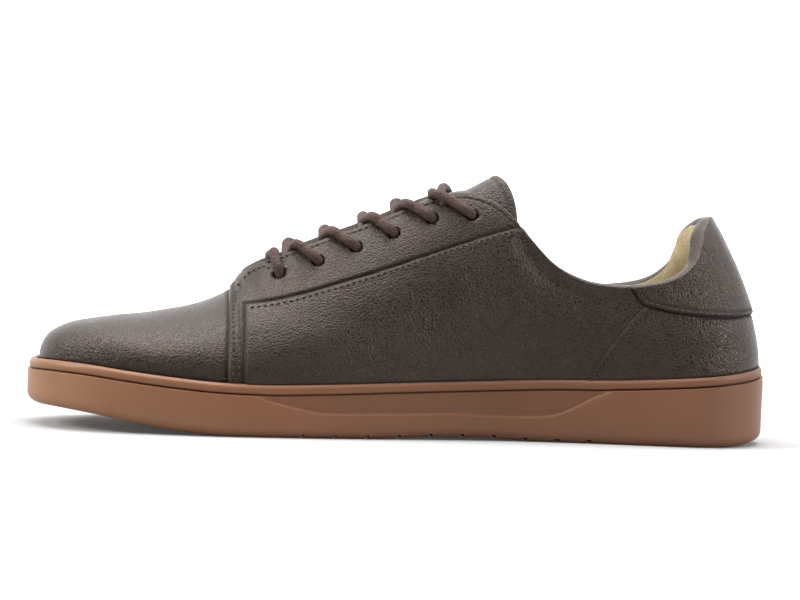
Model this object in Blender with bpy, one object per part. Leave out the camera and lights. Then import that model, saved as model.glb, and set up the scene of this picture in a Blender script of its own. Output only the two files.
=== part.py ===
"""Low leather barefoot shoe, right foot: toe towards -X, inner side towards -Y, +Z up, metres."""

import bmesh
import bpy
import numpy as np
from mathutils import Vector

MM = 0.001

# Driving sizes of the last and the shoe
LENGTH = 289 * MM
BALL_WIDTH = 105 * MM
TOE_HEIGHT = 42 * MM
INSTEP_HEIGHT = 96 * MM
HEEL_HEIGHT = 88.3 * MM

# Sole
TOE_SPRING = 8.3 * MM
ARCH_LIFT = 1.0 * MM
HEEL_SPRING = 1.4 * MM
FOXING_HEIGHT = 21.0 * MM
BEAD_HEIGHT = 4.0 * MM
BEAD_DEPTH = 3.4 * MM
GROOVE_DEPTH = 1.1 * MM
GROOVE_WIDTH = 0.9 * MM
EDGE_ROUND = 5.0 * MM
SOLE_THICKNESS = 5.5 * MM
RECESS_DEPTH = 1.0 * MM
SIPE_WIDTH = 1.7 * MM
SIPE_DEPTH = 1.5 * MM
SIPE_COUNT = 10
SIPE_FIRST = 0.360
SIPE_LAST = 0.747
# Stations where the toe spring ends, the arch rises and falls again, and the heel spring starts
SPRING_END = 0.275
ARCH_RISE = (0.44, 0.55)
ARCH_FALL = (0.60, 0.68)
HEEL_START = 0.93

# Upper, linings and overlays
CLEARANCE = 0.3 * MM
PANEL_GAP = 0.5 * MM
WALL = 2.0 * MM
COLLAR_PADDING = 3.5 * MM
PANEL = 1.4 * MM
TAB_PANEL = 2.0 * MM
FLAP_LIFT = 3.0 * MM
SEAM_GAP = 0.4 * MM
LATERAL_DROP = 1.8 * MM
DROP_STATIONS = (0.60, 0.70)
DROP_END = (0.86, 0.96)
# Where along the shoe and how far up each rib the collar's padding swells, and its share at the very top
PADDING_STATIONS = (0.62, 0.70)
PADDING_RISES = (0.45, 0.80)
PADDING_TOP = (0.85, 1.00)
PADDING_LEFT = 0.55
# Where the flaps stand off the throat: they rise, settle to a share of that, and end at the collar
FLAP_RISE = (0.262, 0.292)
FLAP_SETTLE = (0.33, 0.53)
FLAP_LEFT = 0.2
FLAP_END = (0.56, 0.62)
FLAP_EDGE = (0.60, 1.00)
INSOLE_THICKNESS = 3.0 * MM
TONGUE_THICKNESS = 3.2 * MM
TONGUE_REACH = 14.0 * MM
TONGUE_RISE = 2.5 * MM
TONGUE_WING = 9.0 * MM
TONGUE_TILT = 0.45
TONGUE_CROWN = 0.20
TONGUE_PINCH = 0.15
TONGUE_STATIONS = (0.298, 0.575)
FLAP_FROM_MIDDLE = 0.095

# Lacing
EYELET_PAIRS = 6
EYELET_RADIUS = 2.1 * MM
EYELET_SIDES = 8
EYELET_FIRST = 0.3310
EYELET_LAST = 0.5790
EYELET_INSET = 10.0 * MM
LACE_RADIUS = 1.9 * MM
CORD_STEPS = 2

# Shape of the outline seen from above: station from the toe, centre and half width in ball widths
OUTLINE = [
    # station, centre, half
    (0.00, -0.133, 0.330),
    (0.05, -0.125, 0.355),
    (0.10, -0.108, 0.385),
    (0.17, -0.075, 0.432),
    (0.24, -0.038, 0.474),
    (0.31, -0.003, 0.495),
    (0.38, 0.020, 0.494),
    (0.46, 0.035, 0.466),
    (0.55, 0.042, 0.418),
    (0.64, 0.037, 0.376),
    (0.73, 0.021, 0.358),
    (0.82, -0.003, 0.354),
    (0.90, -0.023, 0.352),
    (1.00, -0.033, 0.350),
]
TOE_ROUND = 0.150
TOE_SQUARE = 2.35
HEEL_ROUND = 0.135
HEEL_SQUARE = 2.15

# Height of the groove under the bead, in foxing heights
GROOVE = [
    # station, height
    (0.00, 1.000),
    (0.04, 1.030),
    (0.08, 1.000),
    (0.13, 0.925),
    (0.19, 0.840),
    (0.25, 0.778),
    (0.31, 0.762),
    (0.37, 0.785),
    (0.49, 0.850),
    (0.62, 0.925),
    (0.69, 0.970),
    (0.78, 1.005),
    (0.85, 1.065),
    (0.91, 1.130),
    (0.96, 1.205),
    (1.00, 1.310),
]

# Line of the top edge. Forward of the throat both sides share it, and behind it each side has its own.
# station: where the rib stands on the sole; top: where its upper end lies; side: distance from the centre
# line in ball widths; height: in the height that the table names; foot and head: lengths of the rib's two
# handles; flare: outward lean at the sole in degrees; lean: inward lean at the top edge in degrees
RIDGE = [
    # station, top, height in toe heights, foot, head, flare
    (0.000, 0.092, 0.985, 0.44, 0.44, 0),
    (0.040, 0.102, 0.995, 0.42, 0.44, 2),
    (0.090, 0.120, 1.012, 0.38, 0.44, 4),
    (0.150, 0.162, 1.045, 0.34, 0.44, 6),
    (0.210, 0.213, 1.125, 0.32, 0.43, 7),
    (0.255, 0.256, 1.240, 0.31, 0.42, 7),
    (0.288, 0.288, 1.375, 0.31, 0.41, 7),
]
THROAT = [
    # station, top, side, height in instep heights, foot, head, flare, lean
    (0.288, 0.288, 0.000, 0.602, 0.31, 0.41, 7, 90),
    (0.308, 0.306, 0.080, 0.636, 0.31, 0.38, 7, 70),
    (0.332, 0.331, 0.112, 0.673, 0.32, 0.34, 7, 58),
    (0.400, 0.400, 0.126, 0.765, 0.33, 0.31, 7, 54),
    (0.470, 0.470, 0.132, 0.862, 0.34, 0.30, 6, 51),
    (0.540, 0.541, 0.143, 0.958, 0.34, 0.30, 5, 46),
    (0.575, 0.578, 0.160, 0.978, 0.34, 0.30, 5, 40),
    (0.606, 0.612, 0.188, 0.953, 0.34, 0.30, 5, 32),
    (0.632, 0.637, 0.216, 0.895, 0.34, 0.30, 5, 24),
    (0.655, 0.657, 0.236, 0.822, 0.34, 0.30, 5, 18),
]
COLLAR = [
    # station, top, side, height in heel heights, foot, head, flare, lean
    (0.690, 0.688, 0.252, 0.790, 0.34, 0.30, 4, 13),
    (0.735, 0.729, 0.262, 0.720, 0.34, 0.30, 3, 10),
    (0.785, 0.776, 0.264, 0.698, 0.34, 0.30, 2, 9),
    (0.832, 0.818, 0.256, 0.707, 0.34, 0.30, 1, 9),
    (0.876, 0.854, 0.238, 0.739, 0.34, 0.30, 0, 10),
    (0.915, 0.879, 0.207, 0.799, 0.34, 0.32, -1, 13),
    (0.948, 0.889, 0.170, 0.875, 0.34, 0.34, -2, 17),
    (0.974, 0.894, 0.128, 0.944, 0.34, 0.36, -3, 22),
    (0.991, 0.903, 0.070, 0.987, 0.34, 0.38, -3, 27),
    (1.000, 0.912, 0.000, 1.000, 0.34, 0.38, -3, 30),
]
# Centre line of ridge and throat, in ball widths
MIDLINE = [
    # station, side
    (0.00, -0.133),
    (0.10, -0.118),
    (0.20, -0.088),
    (0.30, -0.058),
    (0.42, -0.038),
    (0.60, -0.023),
    (0.80, -0.023),
    (1.00, -0.033),
]
# Ribs of the upper: they end at these stations, so many for each stretch
RIB_STRETCHES = [
    # station, ribs up to it
    (0.288, 10),
    (0.332, 3),
    (0.560, 5),
    (0.690, 6),
    (0.876, 5),
    (1.000, 7),
]
RISE_STEPS = 7

# Seams seen from the side, in shoe lengths from the toe and in instep heights from the floor
FRONT_SEAM = [
    # runs up from the sole and round the front corner of the flap
    (0.2600, 0.225),
    (0.2600, 0.350),
    (0.2600, 0.470),
    (0.2625, 0.545),
    (0.2700, 0.600),
    (0.2860, 0.650),
    (0.3050, 0.680),
    (0.3300, 0.712),
    (0.3600, 1.200),
]
EYESTAY_SEAM = [
    # runs up from the front strip to the corner of flap and collar
    (0.2700, 0.498),
    (0.2860, 0.505),
    (0.3350, 0.533),
    (0.3930, 0.588),
    (0.4580, 0.655),
    (0.5240, 0.730),
    (0.5900, 0.803),
    (0.6400, 0.852),
    (0.6750, 0.885),
]
FRONT_STRIP = 6.0 * MM
OUTER_SEAM_BACK = 4.0 * MM
BACK_SEAM = [
    (0.7440, 0.262),
    (0.7553, 0.333),
    (0.7727, 0.405),
    (0.7900, 0.472),
    (0.8070, 0.534),
    (0.8156, 0.561),
]
TAB_FRONT = [
    # runs down from the collar to the top of the back seam
    (0.7800, 0.800),
    (0.7880, 0.715),
    (0.7945, 0.653),
    (0.8000, 0.621),
    (0.8080, 0.584),
    (0.8156, 0.561),
]
TAB_SEAM = [
    # runs on round the heel
    (0.8156, 0.561),
    (0.8360, 0.547),
    (0.8540, 0.536),
    (0.8820, 0.526),
    (0.9100, 0.520),
    (0.9410, 0.519),
    (0.9660, 0.527),
    (1.0300, 0.535),
]
RECESS = [
    # lower edge of the waist recess in the sole's side, in shoe lengths and foxing heights
    (0.290, 0.745),
    (0.314, 0.665),
    (0.343, 0.572),
    (0.375, 0.475),
    (0.400, 0.445),
    (0.490, 0.465),
    (0.570, 0.490),
    (0.590, 0.465),
    (0.650, 0.455),
    (0.687, 0.475),
    (0.710, 0.555),
    (0.732, 0.710),
    (0.757, 0.890),
    (0.785, 0.985),
]
SEAM_STEPS = 3


def angle_of(station):
    """Turns a station along the shoe into an angle, so that curves stay smooth round toe and heel."""
    return np.arccos(1 - 2 * np.clip(station, 0, 1))


def station_of(angle):
    return (1 - np.cos(angle)) / 2


def through(rows, column, stations):
    """Reads a smooth curve through one column of a table at the given stations."""
    table = np.array(rows, float)
    knots, values = angle_of(table[:, 0]), table[:, column]
    slopes = np.gradient(values, knots)
    at = np.clip(angle_of(np.asarray(stations, float)), knots[0], knots[-1])
    i = np.clip(np.searchsorted(knots, at, side="right") - 1, 0, len(knots) - 2)
    step = knots[i + 1] - knots[i]
    s = (at - knots[i]) / step
    a = (1 + 2 * s) * (1 - s) ** 2
    b = s * (1 - s) ** 2
    c = s * s * (3 - 2 * s)
    d = s * s * (s - 1)
    return a * values[i] + b * step * slopes[i] + c * values[i + 1] + d * step * slopes[i + 1]


def smooth(value):
    value = np.clip(value, 0, 1)
    return value * value * (3 - 2 * value)


def ramp(value, ends):
    """Smooth step from 0 to 1 between two ends."""
    return smooth((value - ends[0]) / (ends[1] - ends[0]))


def x_of(station):
    return (np.asarray(station) - 0.5) * LENGTH


def bottom_of(stations):
    """Underside of the sole: flat at forefoot and heel, with toe spring, a low arch and a heel spring."""
    spring = TOE_SPRING * (1 - ramp(stations, (0, SPRING_END)))
    arch = ARCH_LIFT * ramp(stations, ARCH_RISE) * (1 - ramp(stations, ARCH_FALL))
    heel = HEEL_SPRING * ramp(stations, (HEEL_START, 1))
    return spring + arch + heel


def groove_of(stations):
    return FOXING_HEIGHT * through(GROOVE, 1, stations)


def bead_top_of(stations):
    return groove_of(stations) + BEAD_HEIGHT


def outline(angles, side):
    """Points of the sole's widest line for one side (-1 inner, 1 outer), as arrays of x and y."""
    t = station_of(angles)
    half = BALL_WIDTH * through(OUTLINE, 2, t)
    toe = np.clip(1 - t / TOE_ROUND, 0, 1)
    heel = np.clip(1 - (1 - t) / HEEL_ROUND, 0, 1)
    half = half * (1 - toe**TOE_SQUARE) ** (1 / TOE_SQUARE)
    half = half * (1 - heel**HEEL_SQUARE) ** (1 / HEEL_SQUARE)
    centre = BALL_WIDTH * through(OUTLINE, 1, t)
    return np.stack([x_of(t), centre + side * half], -1)


def inward(angles, side):
    """Unit vectors in plan that point into the shoe from its outline."""
    step = 1e-3
    ahead = outline(np.clip(angles + step, 0, np.pi), side)
    behind = outline(np.clip(angles - step, 0, np.pi), side)
    ends = (angles < step) | (angles > np.pi - step)
    along = ahead - behind
    normal = np.stack([side * along[:, 1], -side * along[:, 0]], -1)
    normal[ends] = np.stack([np.where(angles[ends] < 1, 1.0, -1.0), np.zeros(ends.sum())], -1)
    return normal / np.linalg.norm(normal, axis=1, keepdims=True)


def inset(angles, side, distance):
    return outline(angles, side) + inward(angles, side) * np.reshape(distance, (-1, 1))


def loop(angles, distance, height):
    """Closed loop round the shoe: inner side from toe to heel, then outer side back to the toe."""
    t = station_of(angles)
    z = np.broadcast_to(height(t), t.shape)
    inner = np.column_stack([inset(angles, -1, distance), z])
    outer = np.column_stack([inset(angles, 1, distance), z])
    return np.concatenate([inner, outer[-2:0:-1]])


def edge_rows():
    """Throat and collar as one table, its heights in metres."""
    scaled = [(THROAT, INSTEP_HEIGHT), (COLLAR, HEEL_HEIGHT)]
    return [(*row[:3], row[3] * height, *row[4:]) for rows, height in scaled for row in rows]


def handles(t, side):
    """Everything that shapes the ribs of one side at the given stations."""
    edges = edge_rows()
    front = np.clip(t, RIDGE[0][0], RIDGE[-1][0])
    back = np.clip(t, edges[0][0], edges[-1][0])
    closed = t <= RIDGE[-1][0]
    pick = lambda ridge, edge: np.where(closed, ridge, edge)
    top = pick(through(RIDGE, 1, front), through(edges, 1, back))
    reach = pick(0.0, BALL_WIDTH * through(edges, 2, back))
    height = pick(TOE_HEIGHT * through(RIDGE, 2, front), through(edges, 3, back))
    drop = LATERAL_DROP * ramp(t, DROP_STATIONS) * (1 - ramp(t, DROP_END))
    height = height - (drop if side > 0 else 0)
    middle = BALL_WIDTH * through(MIDLINE, 1, top)
    end = np.column_stack([x_of(top), middle + side * reach, height])
    foot = pick(through(RIDGE, 3, front), through(edges, 4, back))
    head = pick(through(RIDGE, 4, front), through(edges, 5, back))
    flare = np.radians(pick(through(RIDGE, 5, front), through(edges, 6, back)))
    lean = np.radians(pick(90.0, through(edges, 7, back)))
    return end, foot, head, flare, lean


def ridge_slope(top_x):
    """Rise of the closed ridge towards the instep, per length."""
    rows = np.array(RIDGE)
    xs, zs = x_of(rows[:, 1]), TOE_HEIGHT * rows[:, 2]
    return np.interp(top_x, xs, np.gradient(zs, xs))


def ribs(angles, side, rises):
    """Grid of the upper's outer face: a rib stands at each angle, from the sole's rim to the top edge."""
    t = station_of(angles)
    into = inward(angles, side)
    base = np.column_stack([inset(angles, side, BEAD_DEPTH + 2 * CLEARANCE), bead_top_of(t)])
    end, foot, head, flare, lean = handles(t, side)
    size = np.linalg.norm(end - base, axis=1)
    plan = end[:, :2] - base[:, :2]
    plan = plan / np.linalg.norm(plan, axis=1, keepdims=True)
    slope = ridge_slope(end[:, 0]) * plan[:, 0] * np.sin(lean) ** 4
    up = np.column_stack([-into * np.sin(flare)[:, None], np.cos(flare)])
    over = np.column_stack([plan * np.sin(lean)[:, None], np.cos(lean) + slope])
    one = base + up * (foot * size)[:, None]
    two = end - over * (head * size)[:, None]
    r = np.reshape(rises, (1, -1, 1))
    points = base[:, None] * (1 - r) ** 3 + one[:, None] * 3 * r * (1 - r) ** 2
    points = points + two[:, None] * 3 * r * r * (1 - r) + end[:, None] * r**3
    return points


def rib_angles():
    found = [0.0]
    for station, count in RIB_STRETCHES:
        found += list(np.linspace(found[-1], angle_of(station), count + 1)[1:])
    return np.array(found)


def closed_ribs():
    return sum(count for station, count in RIB_STRETCHES if station <= RIDGE[-1][0])


def normals_of(grid, side):
    along = np.gradient(grid, axis=0)
    rise = np.gradient(grid, axis=1)
    normal = np.cross(rise, along) * side
    length = np.linalg.norm(normal, axis=2, keepdims=True)
    return normal / np.maximum(length, 1e-12)


def upper_points(offset=0.0, skirt=True):
    """Both sides of the upper at a distance outside its face, as one grid per side. offset is a number or
    a function of station and rise. The skirt goes down behind the sole's rim to the footbed."""
    angles = rib_angles()
    rises = np.linspace(0, 1, RISE_STEPS + 1)
    t = station_of(angles)
    shut = closed_ribs()
    grids = []
    for side in (-1, 1):
        grid = ribs(angles, side, rises)
        normal = normals_of(grid, side)
        for k in (0, len(angles) - 1):
            normal[k, :, 1] = 0
        distance = offset(t[:, None], rises[None, :]) if callable(offset) else offset
        grid = grid + normal * np.reshape(distance * np.ones(grid.shape[:2]), grid.shape[:2] + (1,))
        grids.append(grid)
    for k in range(shut + 1):
        middle = (grids[0][k, -1] + grids[1][k, -1]) / 2
        grids[0][k, -1] = grids[1][k, -1] = middle
    for k in (0, len(angles) - 1):
        middle = (grids[0][k] + grids[1][k]) / 2
        grids[0][k] = grids[1][k] = middle
    if skirt:
        floor = (bottom_of(t) + SOLE_THICKNESS + 2 * CLEARANCE)[:, None]
        for i, grid in enumerate(grids):
            low = grid[:, :1].copy()
            low[:, :, 2] = floor
            grids[i] = np.concatenate([low, grid], axis=1)
    return grids


def mesh_object(name, verts, faces):
    mesh = bpy.data.meshes.new(name)
    mesh.from_pydata([tuple(v) for v in verts], [], faces)
    obj = bpy.data.objects.new(name, mesh)
    bpy.context.scene.collection.objects.link(obj)
    bm = bmesh.new()
    bm.from_mesh(mesh)
    bmesh.ops.remove_doubles(bm, verts=bm.verts, dist=1e-6)
    bmesh.ops.recalc_face_normals(bm, faces=bm.faces)
    bm.to_mesh(mesh)
    bm.free()
    return obj


def grid_faces(rows, columns, start=0, flip=False):
    """Triangles over a grid. Every layer is split alike, so layers keep their distance."""
    faces = []
    for i in range(rows - 1):
        for j in range(columns - 1):
            a = start + i * columns + j
            for face in ([a, a + columns, a + 1], [a + 1, a + columns, a + columns + 1]):
                faces.append(face[::-1] if flip else face)
    return faces


def shell_between(name, inner, outer):
    """Closed solid between two pairs of grids (inner side, outer side of the foot) that share one layout."""
    verts, faces = [], []
    rows, columns = outer[0].shape[:2]
    shut = closed_ribs()
    for layer, flip in ((outer, False), (inner, True)):
        for grid, mirrored in zip(layer, (False, True)):
            faces += grid_faces(rows, columns, len(verts), flip != mirrored)
            verts += list(grid.reshape(-1, 3))
    size = rows * columns
    for g, mirrored in enumerate((False, True)):
        outside, inside = g * size, (2 + g) * size
        for i in range(rows - 1):
            edges = [(i * columns, (i + 1) * columns, mirrored)]
            if i >= shut:
                edges.append((i * columns + columns - 1, (i + 1) * columns + columns - 1, not mirrored))
            for a, b, turned in edges:
                quad = [outside + a, inside + a, inside + b, outside + b]
                faces.append(quad[::-1] if turned else quad)
    return mesh_object(name, verts, faces)


def loft(name, loops):
    """Closed solid through loops with the same number of points. The first and the last are filled
    across from side to side."""
    count = len(loops[0])
    verts = np.concatenate(loops)
    faces = []
    for k in range(len(loops) - 1):
        for i in range(count):
            j = (i + 1) % count
            faces.append([k * count + i, k * count + j, (k + 1) * count + j, (k + 1) * count + i])
    half = count // 2
    for start, turned in ((0, True), ((len(loops) - 1) * count, False)):
        for i in range(half):
            ring = [start + i, start + i + 1, start + (count - i - 1) % count, start + (count - i) % count]
            ring = list(dict.fromkeys(ring))
            faces.append(ring[::-1] if turned else ring)
    return mesh_object(name, verts, faces)


def prism(name, points, near, far):
    """Cutter: an outline in the side view, drawn out across the shoe."""
    count = len(points)
    verts = [(x, near, z) for x, z in points] + [(x, far, z) for x, z in points]
    faces = [list(range(count))[::-1], list(range(count, 2 * count))]
    for i in range(count):
        j = (i + 1) % count
        faces.append([i, j, count + j, count + i])
    obj = mesh_object(name, verts, faces)
    return as_cutter(obj)


def as_cutter(obj):
    cutters = bpy.data.collections.get("cutters") or bpy.data.collections.new("cutters")
    if cutters.name not in bpy.context.scene.collection.children:
        bpy.context.scene.collection.children.link(cutters)
    for home in list(obj.users_collection):
        home.objects.unlink(obj)
    cutters.objects.link(obj)
    obj.hide_render = True
    obj.display_type = "WIRE"
    return obj


def boolean(obj, other, operation):
    modifier = obj.modifiers.new(operation.lower(), "BOOLEAN")
    modifier.operation = operation
    modifier.object = other
    modifier.solver = "EXACT"


def seam(rows, scale=INSTEP_HEIGHT, shift=(0.0, 0.0)):
    """Smooth side-view line through a short table of shares, as x and z in metres."""
    table = np.array(rows, float)
    knots = np.arange(len(table), dtype=float)
    fine = np.linspace(0, len(table) - 1, (len(table) - 1) * SEAM_STEPS + 1)
    found = []
    for column in (0, 1):
        values = table[:, column]
        slopes = np.gradient(values)
        i = np.clip(fine.astype(int), 0, len(values) - 2)
        s = fine - knots[i]
        line = (1 + 2 * s) * (1 - s) ** 2 * values[i] + s * (1 - s) ** 2 * slopes[i]
        line = line + s * s * (3 - 2 * s) * values[i + 1] + s * s * (s - 1) * slopes[i + 1]
        found.append(line)
    return [(x_of(x) + shift[0], z * scale + shift[1]) for x, z in zip(*found)]


def material(name, colour, roughness, metallic=0.0):
    found = bpy.data.materials.new(name)
    found.use_nodes = True
    shader = found.node_tree.nodes["Principled BSDF"]
    shader.inputs["Base Color"].default_value = (*colour, 1)
    shader.inputs["Roughness"].default_value = roughness
    shader.inputs["Metallic"].default_value = metallic
    return found


def finish(obj, home, look, flat=False):
    for old in list(obj.users_collection):
        old.objects.unlink(obj)
    home.objects.link(obj)
    obj.data.materials.clear()
    obj.data.materials.append(look)
    for face in obj.data.polygons:
        face.use_smooth = not flat
    return obj


def clear_scene():
    for obj in list(bpy.data.objects):
        bpy.data.objects.remove(obj, do_unlink=True)


def sole_angles():
    return np.concatenate([
        np.linspace(0, np.pi * 0.30, 11)[:-1],
        np.linspace(np.pi * 0.30, np.pi * 0.74, 9)[:-1],
        np.linspace(np.pi * 0.74, np.pi, 10),
    ])


def make_outsole():
    """Moulded cup sole: underside, wall, groove, bead, and the cup that holds upper and insole."""
    angles = sole_angles()
    floor = lambda t: bottom_of(t) + SOLE_THICKNESS
    wall = lambda t: groove_of(t) - GROOVE_WIDTH / 2
    low = lambda share: lambda t: bottom_of(t) + share * EDGE_ROUND
    mid = lambda share: lambda t: bottom_of(t) * (1 - share) + wall(t) * share
    bead = lambda share: lambda t: groove_of(t) + GROOVE_WIDTH / 2 + share * (BEAD_HEIGHT - GROOVE_WIDTH / 2)
    loops = [
        loop(angles, EDGE_ROUND * 1.5, bottom_of),
        loop(angles, EDGE_ROUND * 0.60, bottom_of),
        loop(angles, EDGE_ROUND * 0.22, low(0.22)),
        loop(angles, EDGE_ROUND * 0.05, low(0.70)),
        loop(angles, 0.0, mid(0.62)),
        loop(angles, GROOVE_DEPTH * 0.3, mid(1.0)),
        loop(angles, GROOVE_DEPTH * 1.3, groove_of),
        loop(angles, GROOVE_DEPTH * 0.7, bead(0.0)),
        loop(angles, GROOVE_DEPTH * 0.5, bead(0.45)),
        loop(angles, GROOVE_DEPTH * 1.0, bead(0.85)),
        loop(angles, BEAD_DEPTH * 0.62, bead(1.0)),
        loop(angles, BEAD_DEPTH, bead(0.85)),
        loop(angles, BEAD_DEPTH, floor),
    ]
    sole = loft("outsole", loops)
    cut_recess(sole, angles)
    for k in range(SIPE_COUNT):
        station = SIPE_FIRST + (SIPE_LAST - SIPE_FIRST) * k / (SIPE_COUNT - 1)
        depth = float(bottom_of(np.array([station]))[0]) + SIPE_DEPTH
        bpy.ops.mesh.primitive_cube_add(size=1, location=(x_of(station), 0, depth - 5 * SIPE_DEPTH))
        sipe = bpy.context.object
        sipe.name = f"sipe_{k + 1}"
        sipe.scale = (SIPE_WIDTH, 2 * BALL_WIDTH, 10 * SIPE_DEPTH)
        boolean(sole, as_cutter(sipe), "DIFFERENCE")
    return sole


def cut_recess(sole, angles):
    """Shallow waist recess in both sides of the wall, from the groove down to a curved lower edge."""
    line = seam(RECESS, FOXING_HEIGHT)
    tops = [(x_of(t), float(groove_of(np.array([t]))[0])) for t in np.linspace(RECESS[-1][0], RECESS[0][0], 12)]
    for side, name in ((-1, "inner"), (1, "outer")):
        verts, faces = [], []
        ring = line + tops
        for distance in (-4 * RECESS_DEPTH, RECESS_DEPTH):
            t = np.array([x / LENGTH + 0.5 for x, z in ring])
            plan = inset(angle_of(t), side, distance)
            verts += [(x, y, z) for (x, y), (_, z) in zip(plan, ring)]
        count = len(ring)
        strip = len(line)
        for start, turned in ((0, False), (count, True)):
            low = [start + i for i in range(strip)]
            high = [start + strip + i for i in range(len(tops))][::-1]
            faces += bridge(verts, low, high, turned)
        for i in range(count):
            j = (i + 1) % count
            faces.append([i, j, count + j, count + i])
        cutter = mesh_object(f"recess_{name}", verts, faces)
        boolean(sole, as_cutter(cutter), "DIFFERENCE")


def bridge(verts, low, high, turned):
    """Triangles between two lines of points that run the same way."""
    faces, i, j = [], 0, 0
    while i < len(low) - 1 or j < len(high) - 1:
        step_low = j == len(high) - 1 or (i < len(low) - 1 and verts[low[i + 1]][0] <= verts[high[j + 1]][0])
        if step_low:
            face = [low[i], low[i + 1], high[j]]
            i += 1
        else:
            face = [low[i], high[j + 1], high[j]]
            j += 1
        faces.append(face[::-1] if turned else face)
    return faces


def make_insole():
    angles = sole_angles()
    distance = BEAD_DEPTH + 3 * CLEARANCE + WALL + CLEARANCE
    low = lambda t: bottom_of(t) + SOLE_THICKNESS + CLEARANCE
    high = lambda t: low(t) + INSOLE_THICKNESS
    return loft("insole", [
        loop(angles, distance + 0.15 * INSOLE_THICKNESS, low),
        loop(angles, distance, lambda t: low(t) + 0.3 * INSOLE_THICKNESS),
        loop(angles, distance, lambda t: low(t) + 0.75 * INSOLE_THICKNESS),
        loop(angles, distance + 0.3 * INSOLE_THICKNESS, high),
    ])


def padding(t, rise):
    """Extra thickness of the wall inwards along the collar."""
    up = ramp(rise, PADDING_RISES) * (1 - (1 - PADDING_LEFT) * ramp(rise, PADDING_TOP))
    return COLLAR_PADDING * ramp(t, PADDING_STATIONS) * up


def lift(t, rise):
    """Clearance under an overlay, larger where the flaps stand over the throat."""
    front = ramp(t, FLAP_RISE) * (1 - (1 - FLAP_LEFT) * ramp(t, FLAP_SETTLE)) * (1 - ramp(t, FLAP_END))
    return PANEL_GAP + FLAP_LIFT * front * ramp(rise, FLAP_EDGE)


def make_upper():
    """One hollow wall: vamp, quarters and collar, open at throat and collar and towards the sole."""
    outer = upper_points()
    inner = upper_points(lambda t, r: -WALL - padding(t, r))
    for far, near in zip(inner, outer):
        far[:, 0, :2] = far[:, 1, :2]
    return shell_between("upper", inner, outer)


def foot_line(first, last):
    """Lower edge of the panels, just above the bead, from one station to another."""
    stations = np.linspace(first, last, 14)
    return [(float(x_of(t)), float(bead_top_of(t)) + 2 * CLEARANCE) for t in stations]


def panel_layer(name, thickness):
    """The whole layer that the panels are cut from: a shell just outside the upper's face."""
    under = upper_points(lift, skirt=False)
    over = upper_points(lambda t, r: lift(t, r) + thickness, skirt=False)
    return shell_between(name, under, over)


def cut_panel(name, thickness, points, near=-1.0, far=1.0):
    panel = panel_layer(name, thickness)
    boolean(panel, prism(f"{name}_outline", points, near * BALL_WIDTH, far * BALL_WIDTH), "INTERSECT")
    return panel


def side_name(side):
    return "inner" if side < 0 else "outer"


def front_shift(side):
    return 0.0 if side < 0 else OUTER_SEAM_BACK


def eyestay_line(start_x, gap):
    """The seam between flap and quarter, from the front strip upwards."""
    line = seam(EYESTAY_SEAM, shift=(0, -gap))
    xs, zs = zip(*line)
    first = (start_x, float(np.interp(start_x, xs, zs)))
    return [first] + [point for point in line if point[0] > start_x + SEAM_GAP]


def make_eyestay(side):
    """Flap with the eyelets, and the strip that runs down its front edge to the sole."""
    shift = front_shift(side)
    strip_x = x_of(FRONT_SEAM[0][0]) + shift + FRONT_STRIP
    top = [(x_of(EYESTAY_SEAM[-1][0]), 2 * INSTEP_HEIGHT)]
    foot = foot_line(strip_x / LENGTH + 0.5, (x_of(FRONT_SEAM[0][0]) + shift) / LENGTH + 0.5)
    points = seam(FRONT_SEAM, shift=(shift, 0)) + top + eyestay_line(strip_x, 0)[::-1] + foot
    middle = float(through(MIDLINE, 1, EYELET_FIRST)) + side * FLAP_FROM_MIDDLE
    near, far = (-1.0, middle) if side < 0 else (middle, 1.0)
    return cut_panel(f"eyestay_{side_name(side)}", PANEL, points, near, far)


def make_quarter(side):
    strip_x = x_of(FRONT_SEAM[0][0]) + front_shift(side) + FRONT_STRIP + SEAM_GAP
    stay = eyestay_line(strip_x, SEAM_GAP)
    rise = [(stay[-1][0], 2 * INSTEP_HEIGHT), (x_of(TAB_FRONT[0][0]) - SEAM_GAP, 2 * INSTEP_HEIGHT)]
    back = seam(TAB_FRONT, shift=(-SEAM_GAP, 0)) + seam(BACK_SEAM, shift=(-SEAM_GAP, 0))[-2:0:-1]
    points = stay + rise + back + foot_line(BACK_SEAM[0][0] - SEAM_GAP / LENGTH, strip_x / LENGTH + 0.5)
    near, far = (-1.0, 0.0) if side < 0 else (0.0, 1.0)
    return cut_panel(f"quarter_{side_name(side)}", PANEL, points, near, far)


def make_counter():
    """Back panel round the heel, under the heel tab."""
    top = seam(TAB_SEAM, shift=(0, -SEAM_GAP))
    left = seam(BACK_SEAM)[1:-1]
    points = left + top[1:] + [(top[-1][0], 0.8 * FOXING_HEIGHT)]
    points = points + foot_line(1.0, BACK_SEAM[0][0])
    return cut_panel("heel_counter", PANEL, points)


def make_heel_tab():
    front = seam(TAB_FRONT)
    points = [(front[0][0], 2 * INSTEP_HEIGHT)] + front + seam(TAB_SEAM)[1:]
    points = points + [(points[-1][0], 2 * INSTEP_HEIGHT)]
    return cut_panel("heel_tab", TAB_PANEL, points)


def flap_point(station, side, from_edge, above):
    """Point on a flap's outer face and the face's normal, at a distance down from the top edge."""
    angles = angle_of(np.array([station - 0.004, station, station + 0.004]))
    rises = np.linspace(0, 1, 61)
    grid = ribs(angles, side, rises)
    normal = normals_of(grid, side)[1]
    rib = grid[1]
    steps = np.linalg.norm(np.diff(rib, axis=0), axis=1)
    down = np.concatenate([np.cumsum(steps[::-1])[::-1], [0]])
    k = int(np.argmin(np.abs(down - from_edge)))
    out = float(lift(np.array(station), np.array(rises[k]))) + PANEL + above
    return rib[k] + normal[k] * out, normal[k]


def eyelet_stations():
    return np.linspace(EYELET_FIRST, EYELET_LAST, EYELET_PAIRS)


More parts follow.
